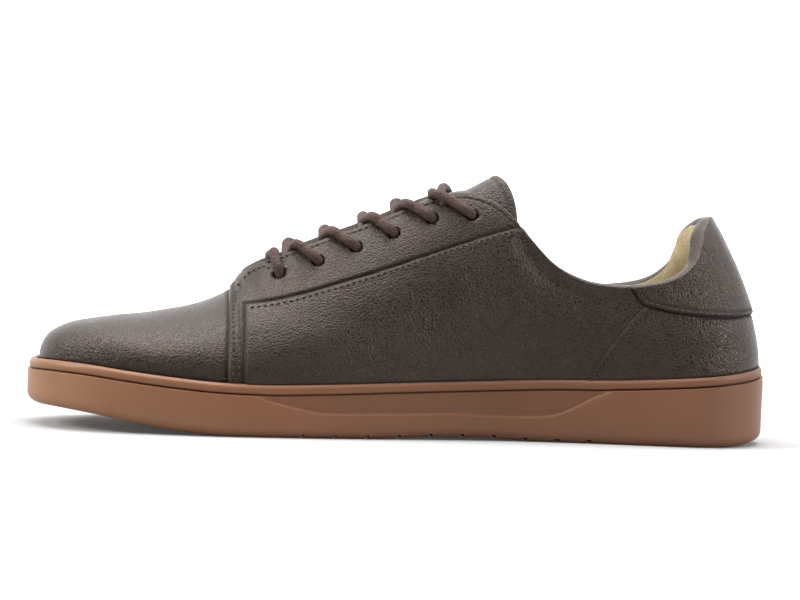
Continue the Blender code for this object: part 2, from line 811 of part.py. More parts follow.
def punch_eyelets(objects, side):
    for k, station in enumerate(eyelet_stations()):
        point, normal = flap_point(station, side, EYELET_INSET, 0)
        turn = Vector(normal).to_track_quat("Z", "Y")
        depth = 6 * (WALL + PANEL + FLAP_LIFT)
        bpy.ops.mesh.primitive_cylinder_add(
            vertices=EYELET_SIDES, radius=EYELET_RADIUS, depth=depth, location=point, rotation=turn.to_euler()
        )
        punch = as_cutter(bpy.context.object)
        punch.name = f"eyelet_punch_{side_name(side)}_{k + 1}"
        for obj in objects:
            boolean(obj, punch, "DIFFERENCE")


def tongue_section(station, count=4, bridge_count=5):
    """Points across the tongue's outer face at one station: under one flap, over the gap, under the other."""
    wings = []
    for side in (-1, 1):
        angles = angle_of(np.array([station - 0.004, station, station + 0.004]))
        coarse = ribs(angles, side, np.linspace(0, 1, 25))
        length = np.linalg.norm(np.diff(coarse[1], axis=0), axis=1).sum()
        rises = 1 - np.linspace(TONGUE_WING / length, 0, count)
        grid = ribs(angles, side, np.concatenate([rises, [1.0 + 1e-3]]))
        normal = normals_of(grid, side)[1][:-1]
        depth = WALL + padding(np.full(count, station), rises) + 2.5 * CLEARANCE
        wings.append(grid[1][:-1] - normal * depth[:, None])
    a, b = wings[0][-1], wings[1][-1]
    span = np.linalg.norm(b - a)
    out_a = wings[0][-1] - wings[0][-2]
    out_b = wings[1][-1] - wings[1][-2]
    out_a = out_a / np.linalg.norm(out_a) * span * TONGUE_CROWN
    out_b = out_b / np.linalg.norm(out_b) * span * TONGUE_CROWN
    s = np.linspace(0, 1, bridge_count + 2)[1:-1, None]
    middle = a * (1 - s) ** 3 + (a + out_a) * 3 * s * (1 - s) ** 2
    middle = middle + (b + out_b) * 3 * s * s * (1 - s) + b * s**3
    return np.concatenate([wings[0], middle, wings[1][::-1]])


def make_tongue():
    rows = [tongue_section(t) for t in np.linspace(*TONGUE_STATIONS, 7)]
    last = rows[-1]
    along = last[len(last) // 2] - rows[-2][len(last) // 2]
    along = along / np.linalg.norm(along)
    crown = last[:, 2].max()
    for share in (0.35, 0.7, 1.0):
        lag = TONGUE_TILT * (crown - last[:, 2])
        row = last + along * (share * (TONGUE_REACH + lag))[:, None]
        middle = row[len(row) // 2, 1]
        row[:, 1] = middle + (row[:, 1] - middle) * (1 - share * TONGUE_PINCH)
        row[:, 2] += share * TONGUE_RISE
        rows.append(row)
    over = np.array(rows)
    normal = np.cross(np.gradient(over, axis=0), np.gradient(over, axis=1))
    normal = normal / np.linalg.norm(normal, axis=2, keepdims=True)
    under = over - normal * TONGUE_THICKNESS
    rows_count, columns = over.shape[:2]
    size = rows_count * columns
    faces = grid_faces(rows_count, columns) + grid_faces(rows_count, columns, size, True)
    rim = [i * columns for i in range(rows_count)]
    rim += [(rows_count - 1) * columns + j for j in range(1, columns)]
    rim += [i * columns + columns - 1 for i in range(rows_count - 2, -1, -1)]
    rim += list(range(columns - 2, 0, -1))
    for i, a in enumerate(rim):
        b = rim[(i + 1) % len(rim)]
        faces.append([a, b, size + b, size + a])
    return mesh_object("tongue", np.concatenate([over.reshape(-1, 3), under.reshape(-1, 3)]), faces)


def cord(name, points):
    """Round cord through a few points, as a mesh with welded caps."""
    points = np.array(points)
    knots = np.arange(len(points), dtype=float)
    fine = np.linspace(0, len(points) - 1, (len(points) - 1) * CORD_STEPS + 1)
    slopes = np.gradient(points, axis=0)
    i = np.clip(fine.astype(int), 0, len(points) - 2)
    s = (fine - knots[i])[:, None]
    line = (1 + 2 * s) * (1 - s) ** 2 * points[i] + s * (1 - s) ** 2 * slopes[i]
    line = line + s * s * (3 - 2 * s) * points[i + 1] + s * s * (s - 1) * slopes[i + 1]
    curve = bpy.data.curves.new(name, "CURVE")
    curve.dimensions = "3D"
    curve.bevel_depth = LACE_RADIUS
    curve.bevel_resolution = 2
    curve.use_fill_caps = True
    spline = curve.splines.new("POLY")
    spline.points.add(len(line) - 1)
    for point, co in zip(spline.points, line):
        point.co = (*co, 1)
    path = bpy.data.objects.new(f"{name}_path", curve)
    bpy.context.scene.collection.objects.link(path)
    bpy.context.view_layer.update()
    mesh = bpy.data.meshes.new_from_object(path.evaluated_get(bpy.context.evaluated_depsgraph_get()))
    bpy.data.objects.remove(path, do_unlink=True)
    obj = bpy.data.objects.new(name, mesh)
    bpy.context.scene.collection.objects.link(obj)
    bm = bmesh.new()
    bm.from_mesh(mesh)
    bmesh.ops.remove_doubles(bm, verts=bm.verts, dist=1e-6)
    bmesh.ops.recalc_face_normals(bm, faces=bm.faces)
    bm.to_mesh(mesh)
    bm.free()
    return obj


def lace_run(start, end, side, under):
    """Points of one cord, from an eyelet of one flap over the tongue to the other flap."""
    above = LACE_RADIUS + 2 * CLEARANCE
    over_edge = above + 0.5 * LACE_RADIUS
    points = [flap_point(start, side, EYELET_INSET - 0.5 * EYELET_RADIUS, above)[0]]
    points.append(flap_point(start + 0.3 * (end - start), side, 0.5 * LACE_RADIUS, over_edge)[0])
    last = flap_point(start + 0.7 * (end - start), -side, 0.5 * LACE_RADIUS, over_edge)[0]
    points.append((points[-1] + last) / 2)
    points.append(last)
    if not under:
        points.append(flap_point(end, -side, EYELET_INSET - 0.5 * EYELET_RADIUS, above)[0])
    return points


def make_laces():
    stations = eyelet_stations()
    pieces = [cord("lace_bar", lace_run(stations[0], stations[0], -1, False))]
    for k in range(EYELET_PAIRS - 1):
        cross = cord(f"lace_cross_{k + 1}", lace_run(stations[k + 1], stations[k], -1, True))
        other = cord(f"lace_over_{k + 1}", lace_run(stations[k + 1], stations[k], 1, True))
        boolean(cross, as_cutter(other), "UNION")
        pieces.append(cross)
    return pieces


def main():
    clear_scene()
    home = bpy.data.collections.new("barefoot_shoe")
    bpy.context.scene.collection.children.link(home)
    leather = material("brown_leather", (0.045, 0.032, 0.027), 0.45)
    gum = material("gum_rubber", (0.33, 0.16, 0.09), 0.55)
    cloth = material("beige_lining", (0.62, 0.53, 0.36), 0.9)
    lace = material("brown_lace", (0.12, 0.075, 0.06), 0.7)
    upper = make_upper()
    eyestays = [make_eyestay(side) for side in (-1, 1)]
    for eyestay, side in zip(eyestays, (-1, 1)):
        punch_eyelets([eyestay, upper], side)
    finish(make_outsole(), home, gum)
    finish(make_insole(), home, cloth)
    panels = [make_quarter(-1), make_quarter(1), make_counter(), make_heel_tab()]
    for obj in [upper, make_tongue()] + eyestays + panels:
        finish(obj, home, leather)
    for obj in make_laces():
        finish(obj, home, lace)


main()
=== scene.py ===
"""Looks of the low leather barefoot shoe over its frame: toe towards -X, inner side towards -Y, metres."""

import bmesh
import bpy
import numpy as np
from mathutils import Matrix, Vector, kdtree


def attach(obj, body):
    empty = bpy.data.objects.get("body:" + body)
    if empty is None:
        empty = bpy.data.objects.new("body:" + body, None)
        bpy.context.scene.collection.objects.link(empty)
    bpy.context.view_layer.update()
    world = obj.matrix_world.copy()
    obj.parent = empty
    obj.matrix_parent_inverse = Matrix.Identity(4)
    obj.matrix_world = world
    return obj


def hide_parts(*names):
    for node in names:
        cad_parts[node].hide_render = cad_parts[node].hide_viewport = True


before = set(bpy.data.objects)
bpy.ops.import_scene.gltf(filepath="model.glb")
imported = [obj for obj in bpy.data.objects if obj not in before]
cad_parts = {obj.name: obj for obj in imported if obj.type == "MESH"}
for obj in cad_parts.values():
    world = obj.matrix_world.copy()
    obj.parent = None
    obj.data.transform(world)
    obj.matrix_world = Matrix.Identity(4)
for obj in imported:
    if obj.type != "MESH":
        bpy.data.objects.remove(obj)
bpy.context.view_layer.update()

MM = 0.001

# Driving sizes of the last and the shoe
LENGTH = 289 * MM
BALL_WIDTH = 105 * MM
TOE_HEIGHT = 42 * MM
INSTEP_HEIGHT = 96 * MM
HEEL_HEIGHT = 88.3 * MM

# Sole
TOE_SPRING = 8.3 * MM
ARCH_LIFT = 1.0 * MM
HEEL_SPRING = 1.4 * MM
FOXING_HEIGHT = 21.0 * MM
BEAD_HEIGHT = 4.0 * MM
BEAD_DEPTH = 3.4 * MM
GROOVE_DEPTH = 1.1 * MM
EDGE_ROUND = 5.0 * MM
SOLE_THICKNESS = 5.5 * MM
RECESS_DEPTH = 1.0 * MM
SIPE_WIDTH = 1.7 * MM
SIPE_DEPTH = 1.5 * MM
SIPE_COUNT = 10
SIPE_FIRST = 0.360
SIPE_LAST = 0.747
# Stations where the toe spring ends, the arch rises and falls again, and the heel spring starts
SPRING_END = 0.275
ARCH_RISE = (0.44, 0.55)
ARCH_FALL = (0.60, 0.68)
HEEL_START = 0.93

# Upper, linings and overlays
CLEARANCE = 0.3 * MM
PANEL_GAP = 0.5 * MM
WALL = 2.0 * MM
COLLAR_PADDING = 3.5 * MM
PANEL = 1.4 * MM
TAB_PANEL = 2.0 * MM
FLAP_LIFT = 3.0 * MM
LATERAL_DROP = 1.8 * MM
DROP_STATIONS = (0.60, 0.70)
DROP_END = (0.86, 0.96)
# Where along the shoe and how far up each rib the collar's padding swells, and its share at the very top
PADDING_STATIONS = (0.62, 0.70)
PADDING_RISES = (0.45, 0.80)
PADDING_TOP = (0.85, 1.00)
PADDING_LEFT = 0.55
# Where the flaps stand off the throat: they rise, settle to a share of that, and end at the collar
FLAP_RISE = (0.262, 0.292)
FLAP_SETTLE = (0.33, 0.53)
FLAP_LEFT = 0.2
FLAP_END = (0.56, 0.62)
FLAP_EDGE = (0.60, 1.00)
INSOLE_THICKNESS = 3.0 * MM
TONGUE_THICKNESS = 3.2 * MM
TONGUE_REACH = 14.0 * MM
TONGUE_RISE = 2.5 * MM
TONGUE_WING = 9.0 * MM
TONGUE_CROWN = 0.20
TONGUE_PINCH = 0.15
TONGUE_STATIONS = (0.298, 0.575)

# Lacing
EYELET_PAIRS = 6
EYELET_FIRST = 0.3310
EYELET_LAST = 0.5790
EYELET_INSET = 10.0 * MM
LACE_RADIUS = 1.9 * MM

# Shape of the outline seen from above: station from the toe, centre and half width in ball widths
OUTLINE = [
    # station, centre, half
    (0.00, -0.133, 0.330),
    (0.05, -0.125, 0.355),
    (0.10, -0.108, 0.385),
    (0.17, -0.075, 0.432),
    (0.24, -0.038, 0.474),
    (0.31, -0.003, 0.495),
    (0.38, 0.020, 0.494),
    (0.46, 0.035, 0.466),
    (0.55, 0.042, 0.418),
    (0.64, 0.037, 0.376),
    (0.73, 0.021, 0.358),
    (0.82, -0.003, 0.354),
    (0.90, -0.023, 0.352),
    (1.00, -0.033, 0.350),
]
TOE_ROUND = 0.150
TOE_SQUARE = 2.35
HEEL_ROUND = 0.135
HEEL_SQUARE = 2.15

# Height of the groove under the bead, in foxing heights
GROOVE = [
    # station, height
    (0.00, 1.000),
    (0.04, 1.030),
    (0.08, 1.000),
    (0.13, 0.925),
    (0.19, 0.840),
    (0.25, 0.778),
    (0.31, 0.762),
    (0.37, 0.785),
    (0.49, 0.850),
    (0.62, 0.925),
    (0.69, 0.970),
    (0.78, 1.005),
    (0.85, 1.065),
    (0.91, 1.130),
    (0.96, 1.205),
    (1.00, 1.310),
]

# Line of the top edge. Forward of the throat both sides share it, and behind it each side has its own.
# station: where the rib stands on the sole; top: where its upper end lies; side: distance from the centre
# line in ball widths; height: in the height that the table names; foot and head: lengths of the rib's two
# handles; flare: outward lean at the sole in degrees; lean: inward lean at the top edge in degrees
RIDGE = [
    # station, top, height in toe heights, foot, head, flare
    (0.000, 0.092, 0.985, 0.44, 0.44, 0),
    (0.040, 0.102, 0.995, 0.42, 0.44, 2),
    (0.090, 0.120, 1.012, 0.38, 0.44, 4),
    (0.150, 0.162, 1.045, 0.34, 0.44, 6),
    (0.210, 0.213, 1.125, 0.32, 0.43, 7),
    (0.255, 0.256, 1.240, 0.31, 0.42, 7),
    (0.288, 0.288, 1.375, 0.31, 0.41, 7),
]
THROAT = [
    # station, top, side, height in instep heights, foot, head, flare, lean
    (0.288, 0.288, 0.000, 0.602, 0.31, 0.41, 7, 90),
    (0.308, 0.306, 0.080, 0.636, 0.31, 0.38, 7, 70),
    (0.332, 0.331, 0.112, 0.673, 0.32, 0.34, 7, 58),
    (0.400, 0.400, 0.126, 0.765, 0.33, 0.31, 7, 54),
    (0.470, 0.470, 0.132, 0.862, 0.34, 0.30, 6, 51),
    (0.540, 0.541, 0.143, 0.958, 0.34, 0.30, 5, 46),
    (0.575, 0.578, 0.160, 0.978, 0.34, 0.30, 5, 40),
    (0.606, 0.612, 0.188, 0.953, 0.34, 0.30, 5, 32),
    (0.632, 0.637, 0.216, 0.895, 0.34, 0.30, 5, 24),
    (0.655, 0.657, 0.236, 0.822, 0.34, 0.30, 5, 18),
]
COLLAR = [
    # station, top, side, height in heel heights, foot, head, flare, lean
    (0.690, 0.688, 0.252, 0.790, 0.34, 0.30, 4, 13),
    (0.735, 0.729, 0.262, 0.720, 0.34, 0.30, 3, 10),
    (0.785, 0.776, 0.264, 0.698, 0.34, 0.30, 2, 9),
    (0.832, 0.818, 0.256, 0.707, 0.34, 0.30, 1, 9),
    (0.876, 0.854, 0.238, 0.739, 0.34, 0.30, 0, 10),
    (0.915, 0.879, 0.207, 0.799, 0.34, 0.32, -1, 13),
    (0.948, 0.889, 0.170, 0.875, 0.34, 0.34, -2, 17),
    (0.974, 0.894, 0.128, 0.944, 0.34, 0.36, -3, 22),
    (0.991, 0.903, 0.070, 0.987, 0.34, 0.38, -3, 27),
    (1.000, 0.912, 0.000, 1.000, 0.34, 0.38, -3, 30),
]
# Centre line of ridge and throat, in ball widths
MIDLINE = [
    # station, side
    (0.00, -0.133),
    (0.10, -0.118),
    (0.20, -0.088),
    (0.30, -0.058),
    (0.42, -0.038),
    (0.60, -0.023),
    (0.80, -0.023),
    (1.00, -0.033),
]
# Seams seen from the side, in shoe lengths from the toe and in instep heights from the floor
FRONT_SEAM = [
    # runs up from the sole and round the front corner of the flap
    (0.2600, 0.225),
    (0.2600, 0.350),
    (0.2600, 0.470),
    (0.2625, 0.545),
    (0.2700, 0.600),
    (0.2860, 0.650),
    (0.3050, 0.680),
    (0.3300, 0.712),
    (0.3600, 1.200),
]
EYESTAY_SEAM = [
    # runs up from the front strip to the corner of flap and collar
    (0.2700, 0.498),
    (0.2860, 0.505),
    (0.3350, 0.533),
    (0.3930, 0.588),
    (0.4580, 0.655),
    (0.5240, 0.730),
    (0.5900, 0.803),
    (0.6400, 0.852),
    (0.6750, 0.885),
]
FRONT_STRIP = 6.0 * MM
OUTER_SEAM_BACK = 4.0 * MM
BACK_SEAM = [
    (0.7440, 0.262),
    (0.7553, 0.333),
    (0.7727, 0.405),
    (0.7900, 0.472),
    (0.8070, 0.534),
    (0.8156, 0.561),
]
TAB_FRONT = [
    # runs down from the collar to the top of the back seam
    (0.7800, 0.800),
    (0.7880, 0.715),
    (0.7945, 0.653),
    (0.8000, 0.621),
    (0.8080, 0.584),
    (0.8156, 0.561),
]
TAB_SEAM = [
    # runs on round the heel
    (0.8156, 0.561),
    (0.8360, 0.547),
    (0.8540, 0.536),
    (0.8820, 0.526),
    (0.9100, 0.520),
    (0.9410, 0.519),
    (0.9660, 0.527),
    (1.0300, 0.535),
]
RECESS = [
    # lower edge of the waist recess in the sole's side, in shoe lengths and foxing heights
    (0.290, 0.745),
    (0.314, 0.665),
    (0.343, 0.572),
    (0.375, 0.475),
    (0.400, 0.445),
    (0.490, 0.465),
    (0.570, 0.490),
    (0.590, 0.465),
    (0.650, 0.455),
    (0.687, 0.475),
    (0.710, 0.555),
    (0.732, 0.710),
    (0.757, 0.890),
    (0.785, 0.985),
]
SEAM_STEPS = 3


def unit(vectors):
    """Vectors scaled to length 1."""
    return vectors / np.linalg.norm(vectors, axis=-1, keepdims=True)


def angle_of(station):
    """Turns a station along the shoe into an angle, so that curves stay smooth round toe and heel."""
    return np.arccos(1 - 2 * np.clip(station, 0, 1))


def station_of(angle):
    return (1 - np.cos(angle)) / 2


def cubic(s, start, end, start_slope, end_slope):
    """Hermite curve between two values with the given slopes."""
    line = (1 + 2 * s) * (1 - s) ** 2 * start + s * (1 - s) ** 2 * start_slope
    return line + s * s * (3 - 2 * s) * end + s * s * (s - 1) * end_slope


def through(rows, column, stations):
    """Reads a smooth curve through one column of a table at the given stations."""
    table = np.array(rows, float)
    knots, values = angle_of(table[:, 0]), table[:, column]
    slopes = np.gradient(values, knots)
    at = np.clip(angle_of(np.asarray(stations, float)), knots[0], knots[-1])
    i = np.clip(np.searchsorted(knots, at, side="right") - 1, 0, len(knots) - 2)
    step = knots[i + 1] - knots[i]
    s = (at - knots[i]) / step
    return cubic(s, values[i], values[i + 1], step * slopes[i], step * slopes[i + 1])


def smooth(value):
    value = np.clip(value, 0, 1)
    return value * value * (3 - 2 * value)


def ramp(value, ends):
    """Smooth step from 0 to 1 between two ends."""
    return smooth((value - ends[0]) / (ends[1] - ends[0]))


def x_of(station):
    return (np.asarray(station) - 0.5) * LENGTH


def bottom_of(stations):
    """Underside of the sole: flat at forefoot and heel, with toe spring, a low arch and a heel spring."""
    spring = TOE_SPRING * (1 - ramp(stations, (0, SPRING_END)))
    arch = ARCH_LIFT * ramp(stations, ARCH_RISE) * (1 - ramp(stations, ARCH_FALL))
    heel = HEEL_SPRING * ramp(stations, (HEEL_START, 1))
    return spring + arch + heel


def groove_of(stations):
    return FOXING_HEIGHT * through(GROOVE, 1, stations)


def bead_top_of(stations):
    return groove_of(stations) + BEAD_HEIGHT


def outline(angles, side):
    """Points of the sole's widest line for one side (-1 inner, 1 outer), as arrays of x and y."""
    t = station_of(angles)
    half = BALL_WIDTH * through(OUTLINE, 2, t)
    toe = np.clip(1 - t / TOE_ROUND, 0, 1)
    heel = np.clip(1 - (1 - t) / HEEL_ROUND, 0, 1)
    half = half * (1 - toe**TOE_SQUARE) ** (1 / TOE_SQUARE)
    half = half * (1 - heel**HEEL_SQUARE) ** (1 / HEEL_SQUARE)
    centre = BALL_WIDTH * through(OUTLINE, 1, t)
    return np.stack([x_of(t), centre + side * half], -1)


def inward(angles, side):
    """Unit vectors in plan that point into the shoe from its outline."""
    step = 1e-3
    ahead = outline(np.clip(angles + step, 0, np.pi), side)
    behind = outline(np.clip(angles - step, 0, np.pi), side)
    ends = (angles < step) | (angles > np.pi - step)
    along = ahead - behind
    normal = np.stack([side * along[:, 1], -side * along[:, 0]], -1)
    normal[ends] = np.stack([np.where(angles[ends] < 1, 1.0, -1.0), np.zeros(ends.sum())], -1)
    return unit(normal)


def inset(angles, side, distance):
    return outline(angles, side) + inward(angles, side) * np.reshape(distance, (-1, 1))


def edge_rows():
    """Throat and collar as one table, its heights in metres."""
    scaled = [(THROAT, INSTEP_HEIGHT), (COLLAR, HEEL_HEIGHT)]
    return [(*row[:3], row[3] * height, *row[4:]) for rows, height in scaled for row in rows]


def handles(t, side):
    """Everything that shapes the ribs of one side at the given stations."""
    edges = edge_rows()
    front = np.clip(t, RIDGE[0][0], RIDGE[-1][0])
    back = np.clip(t, edges[0][0], edges[-1][0])
    closed = t <= RIDGE[-1][0]
    pick = lambda ridge, edge: np.where(closed, ridge, edge)
    top = pick(through(RIDGE, 1, front), through(edges, 1, back))
    reach = pick(0.0, BALL_WIDTH * through(edges, 2, back))
    height = pick(TOE_HEIGHT * through(RIDGE, 2, front), through(edges, 3, back))
    drop = LATERAL_DROP * ramp(t, DROP_STATIONS) * (1 - ramp(t, DROP_END))
    height = height - (drop if side > 0 else 0)
    middle = BALL_WIDTH * through(MIDLINE, 1, top)
    end = np.column_stack([x_of(top), middle + side * reach, height])
    foot = pick(through(RIDGE, 3, front), through(edges, 4, back))
    head = pick(through(RIDGE, 4, front), through(edges, 5, back))
    flare = np.radians(pick(through(RIDGE, 5, front), through(edges, 6, back)))
    lean = np.radians(pick(90.0, through(edges, 7, back)))
    return end, foot, head, flare, lean


def ridge_slope(top_x):
    """Rise of the closed ridge towards the instep, per length."""
    rows = np.array(RIDGE)
    xs, zs = x_of(rows[:, 1]), TOE_HEIGHT * rows[:, 2]
    return np.interp(top_x, xs, np.gradient(zs, xs))


def ribs(angles, side, rises):
    """Grid of the upper's outer face: a rib stands at each angle, from the sole's rim to the top edge."""
    t = station_of(angles)
    into = inward(angles, side)
    base = np.column_stack([inset(angles, side, BEAD_DEPTH + 2 * CLEARANCE), bead_top_of(t)])
    end, foot, head, flare, lean = handles(t, side)
    size = np.linalg.norm(end - base, axis=1)
    plan = unit(end[:, :2] - base[:, :2])
    slope = ridge_slope(end[:, 0]) * plan[:, 0] * np.sin(lean) ** 4
    up = np.column_stack([-into * np.sin(flare)[:, None], np.cos(flare)])
    over = np.column_stack([plan * np.sin(lean)[:, None], np.cos(lean) + slope])
    one = base + up * (foot * size)[:, None]
    two = end - over * (head * size)[:, None]
    r = np.reshape(rises, (1, -1, 1))
    points = base[:, None] * (1 - r) ** 3 + one[:, None] * 3 * r * (1 - r) ** 2
    points = points + two[:, None] * 3 * r * r * (1 - r) + end[:, None] * r**3
    return points


def normals_of(grid, side):
    along = np.gradient(grid, axis=0)
    rise = np.gradient(grid, axis=1)
    normal = np.cross(rise, along) * side
    length = np.linalg.norm(normal, axis=2, keepdims=True)
    return normal / np.maximum(length, 1e-12)


def curve_through(rows, steps):
    """Smooth curve through points, as an array."""
    rows = np.asarray(rows, float)
    fine = np.linspace(0, len(rows) - 1, (len(rows) - 1) * steps + 1)
    slopes = np.gradient(rows, axis=0)
    i = np.clip(fine.astype(int), 0, len(rows) - 2)
    s = (fine - i)[:, None]
    return cubic(s, rows[i], rows[i + 1], slopes[i], slopes[i + 1])


def seam(rows, scale=INSTEP_HEIGHT, shift=0.0):
    """Smooth side-view line through a short table of shares, as x and z in metres."""
    return [(x_of(x) + shift, z * scale) for x, z in curve_through(rows, SEAM_STEPS)]


def padding(t, rise):
    """Extra thickness of the wall inwards along the collar."""
    up = ramp(rise, PADDING_RISES) * (1 - (1 - PADDING_LEFT) * ramp(rise, PADDING_TOP))
    return COLLAR_PADDING * ramp(t, PADDING_STATIONS) * up


def lift(t, rise):
    """Clearance under an overlay, larger where the flaps stand over the throat."""
    front = ramp(t, FLAP_RISE) * (1 - (1 - FLAP_LEFT) * ramp(t, FLAP_SETTLE)) * (1 - ramp(t, FLAP_END))
    return PANEL_GAP + FLAP_LIFT * front * ramp(rise, FLAP_EDGE)


# Looks
PHOTO = (800, 600)
CAMERA_AWAY = 1100 * MM
CAMERA_YAW = np.radians(6.0)
CAMERA_RISE = 100 * MM
CAMERA_ROLL = np.radians(2.35338)
CAMERA_AIM = (0.0, -3.465 * MM, 50 * MM)
CAMERA_ZOOM = 2545.0
CAMERA_CENTRE = (402.157, 303.717)
# Meshes of the skins: columns along the shoe and rows up the side, for full and quick detail
INNER_MESH, INNER_QUICK = (560, 132), (300, 80)
OUTER_MESH, OUTER_QUICK = (380, 90), (240, 60)
SOLE_COLUMNS = 441
INSOLE_COLUMNS = 241
# Share of the columns in front of the throat, and how near two points are to become one
FRONT_SHARE = 0.36
WELD = 4e-6
# Rolled top edge: rows round it, how many of them are lining, the share of its radius that it swells, where
# the face turns in below it, and over which stretch it grows at the throat's front
RIM_ROWS = 9
RIM_LINING = 1
RIM_SWELL = 0.55
RIM_FROM = (0.90, 1.0)
RIM_GROWS = 0.012
# The lining has every so many of the face's rows
LINING_STEP = 6
# Station where the lining changes from the throat's dark backing to the collar's cloth
COLLAR_FROM = 0.60

# Relief of the outer face: how wide each folded edge is rounded, depth and half width of its crevice
FLAP_FOLD = 1.3 * MM
FLAP_CREVICE = (0.50 * MM, 0.70 * MM)
QUARTER_FOLD = 1.1 * MM
QUARTER_CREVICE = (0.95 * MM, 0.55 * MM)
COUNTER_FOLD = 0.9 * MM
COUNTER_CREVICE = (0.40 * MM, 0.50 * MM)
COUNTER_RIDGE = (0.35 * MM, 1.0 * MM)
TAB_FOLD = 1.2 * MM
TAB_CREVICE = (0.70 * MM, 0.60 * MM)
STITCH_GROOVE = (0.22 * MM, 0.65 * MM)
# Leather stands a little prouder than the solids' panels
PANEL_SWELL = 0.35 * MM
TAB_SWELL = 0.80 * MM
# Half distance of the flaps' front corners from the centre line, in ball widths
FLAP_SHOWN = 0.03
# Half width of the shade painted into the crevices beside flap, quarter and tab, and how dark other places
# are painted, from 0 to 1
SEAM_SHADE = (0.9 * MM, 0.7 * MM, 0.8 * MM)
# Painted shade in the crevice along the back seam, and in the stitch grooves
BACK_SHADE = 0.80
SEWN_SHADE = 0.75
RIM_SHADE = 0.45
BEAD_SHADE = 0.12

# Stitches, and how far inside its seam each row runs
STITCH_PITCH = 2.5 * MM
STITCH_LONG = 1.7 * MM
STITCH_WIDE = 0.34 * MM
ROW_INSIDE = 1.9 * MM
SECOND_ROW = 2.3 * MM
EYE_ROW = 0.5 * MM
BACK_ROW = 2.4 * MM
TAB_ROW = 1.6 * MM
THROAT_ROW = (0.318, 0.652)
THROAT_ROW_DOWN = 2.4 * MM

# Eyelets as shown, and the lace: how far towards the next eyelet each crossing has come where it leaves the
# flap, near side and far side, and how high it arches over the tongue
EYELET_SHOWN = 2.6 * MM
EYELET_RIM = 0.30 * MM
EYELET_DEPTH = 3.4 * MM
LACE_LEANS = (0.50, 0.55, 0.50, 0.62, 0.92)
FAR_LEANS = (0.56, 0.60, 0.56, 0.68, 0.35)
LACE_HUMP = 2.0 * MM
FAR_HUMPS = (-2.5 * MM, -2.5 * MM, 0.5 * MM, -2.5 * MM, 3.0 * MM)

# Sole: radius of its lower edge as a share of EDGE_ROUND, and half height of the step into the waist recess
EDGE_SHARE = 0.82
RECESS_STEP = 0.25 * MM

# Tongue: its wings grow towards the top, its end is rounded, and a hem is folded in
TONGUE_FLARE = 15.0 * MM
TONGUE_FLARE_FROM = 0.46
TONGUE_SHORT = 1.6 * MM
TONGUE_EXTRA_RISE = 1.0 * MM
TONGUE_CORNER = 10.0 * MM
TONGUE_HEM = 3.4 * MM

# Colours
LEATHER_DARK = (0.0072, 0.0041, 0.0024)
LEATHER_LIGHT = (0.0145, 0.0086, 0.0053)
LEATHER_NET = (0.036, 0.022, 0.014)
LINING_BEIGE = (0.62, 0.49, 0.28)
BACKING_DARK = (0.02, 0.017, 0.016)
LACE_BROWN = (0.080, 0.038, 0.027)
THREAD_BROWN = (0.040, 0.020, 0.013)
# How much the slow swells weigh against the pebbles, and how much rougher a crevice is
LEATHER_SWELL = 1.1
CREVICE_MATT = 0.40
RUBBER_TONES = [
    # share of the length from the toe, colour
    (0.0, (0.230, 0.108, 0.045)),
    (0.3, (0.217, 0.085, 0.035)),
    (0.6, (0.165, 0.065, 0.0265)),
    (1.0, (0.178, 0.072, 0.031)),
]


def rounded(s, width):
    """Profile of a folded edge: 0 outside, quarter round over the width, then 1."""
    s = np.clip(s / width, 0, 1)
    return np.sqrt(np.clip(1 - (1 - s) ** 2, 0, 1))


def dip(s, width):
    return np.exp(-((s / width) ** 2))


def trough(s, size):
    """Profile of a crevice or groove whose size is its depth and its half width."""
    return size[0] * dip(s, size[1])


def signed(points, line, flip=1):
    """Distance of side-view points to a line, positive on its left."""
    line = np.array(line)
    a, b = line[:-1], line[1:]
    ab = b - a
    flat = points.reshape(-1, 2)
    best = np.full(len(flat), 1e9)
    sign = np.ones(len(flat))
    for start, step in zip(a, ab):
        rel = flat - start
        u = np.clip((rel @ step) / (step @ step), 0, 1)
        gap = rel - u[:, None] * step
        size = np.hypot(gap[:, 0], gap[:, 1])
        cross = step[0] * rel[:, 1] - step[1] * rel[:, 0]
        closer = size < best - 1e-9
        best[closer] = size[closer]
        sign[closer] = np.sign(cross[closer])
    return (best * sign * flip).reshape(points.shape[:-1])


def seam_distances(side, xz, y):
    """Inside distances of all panels of one side, from side-view points."""
    shift = 0.0 if side < 0 else OUTER_SEAM_BACK
    front = signed(xz, seam(FRONT_SEAM, shift=shift), -1)
    front_x = x_of(FRONT_SEAM[0][0]) + shift
    low = xz[..., 1] < FRONT_SEAM[1][1] * INSTEP_HEIGHT
    front = np.where(low, xz[..., 0] - front_x, front)
    middle = BALL_WIDTH * (float(through(MIDLINE, 1, EYELET_FIRST)) + side * FLAP_SHOWN)
    beside = side * (y - middle)
    front = np.where(xz[..., 0] < x_of(EYELET_FIRST), np.minimum(front, beside), front)
    strip = xz[..., 0] - front_x - FRONT_STRIP
    eye = signed(xz, seam([(0.2300, 0.480)] + EYESTAY_SEAM + [(0.7100, 0.925)]), 1)
    back_line = seam([(0.7280, 0.120)] + BACK_SEAM)
    back = signed(xz, back_line, -1)
    tab_line = seam(TAB_FRONT) + seam(TAB_SEAM)[1:]
    tab = signed(xz, tab_line, 1)
    return front, strip, eye, back, tab


def from_top(grid):
    """Length along each rib from its points to its upper end."""
    paces = np.linalg.norm(np.diff(grid, axis=1), axis=2)
    return np.concatenate([np.cumsum(paces[:, ::-1], axis=1)[:, ::-1], np.zeros((len(grid), 1))], axis=1)


def overlay(height, inside, thick, fold, shade_and_edge_tone, where=1.0):
    """Lays a panel with a folded edge on the face. Inside is the distance to its edge, positive on it."""
    below = height - trough(np.minimum(inside, 0), shade_and_edge_tone) * where
    return np.where(inside > 0, below + (thick - below) * rounded(inside, fold), below)


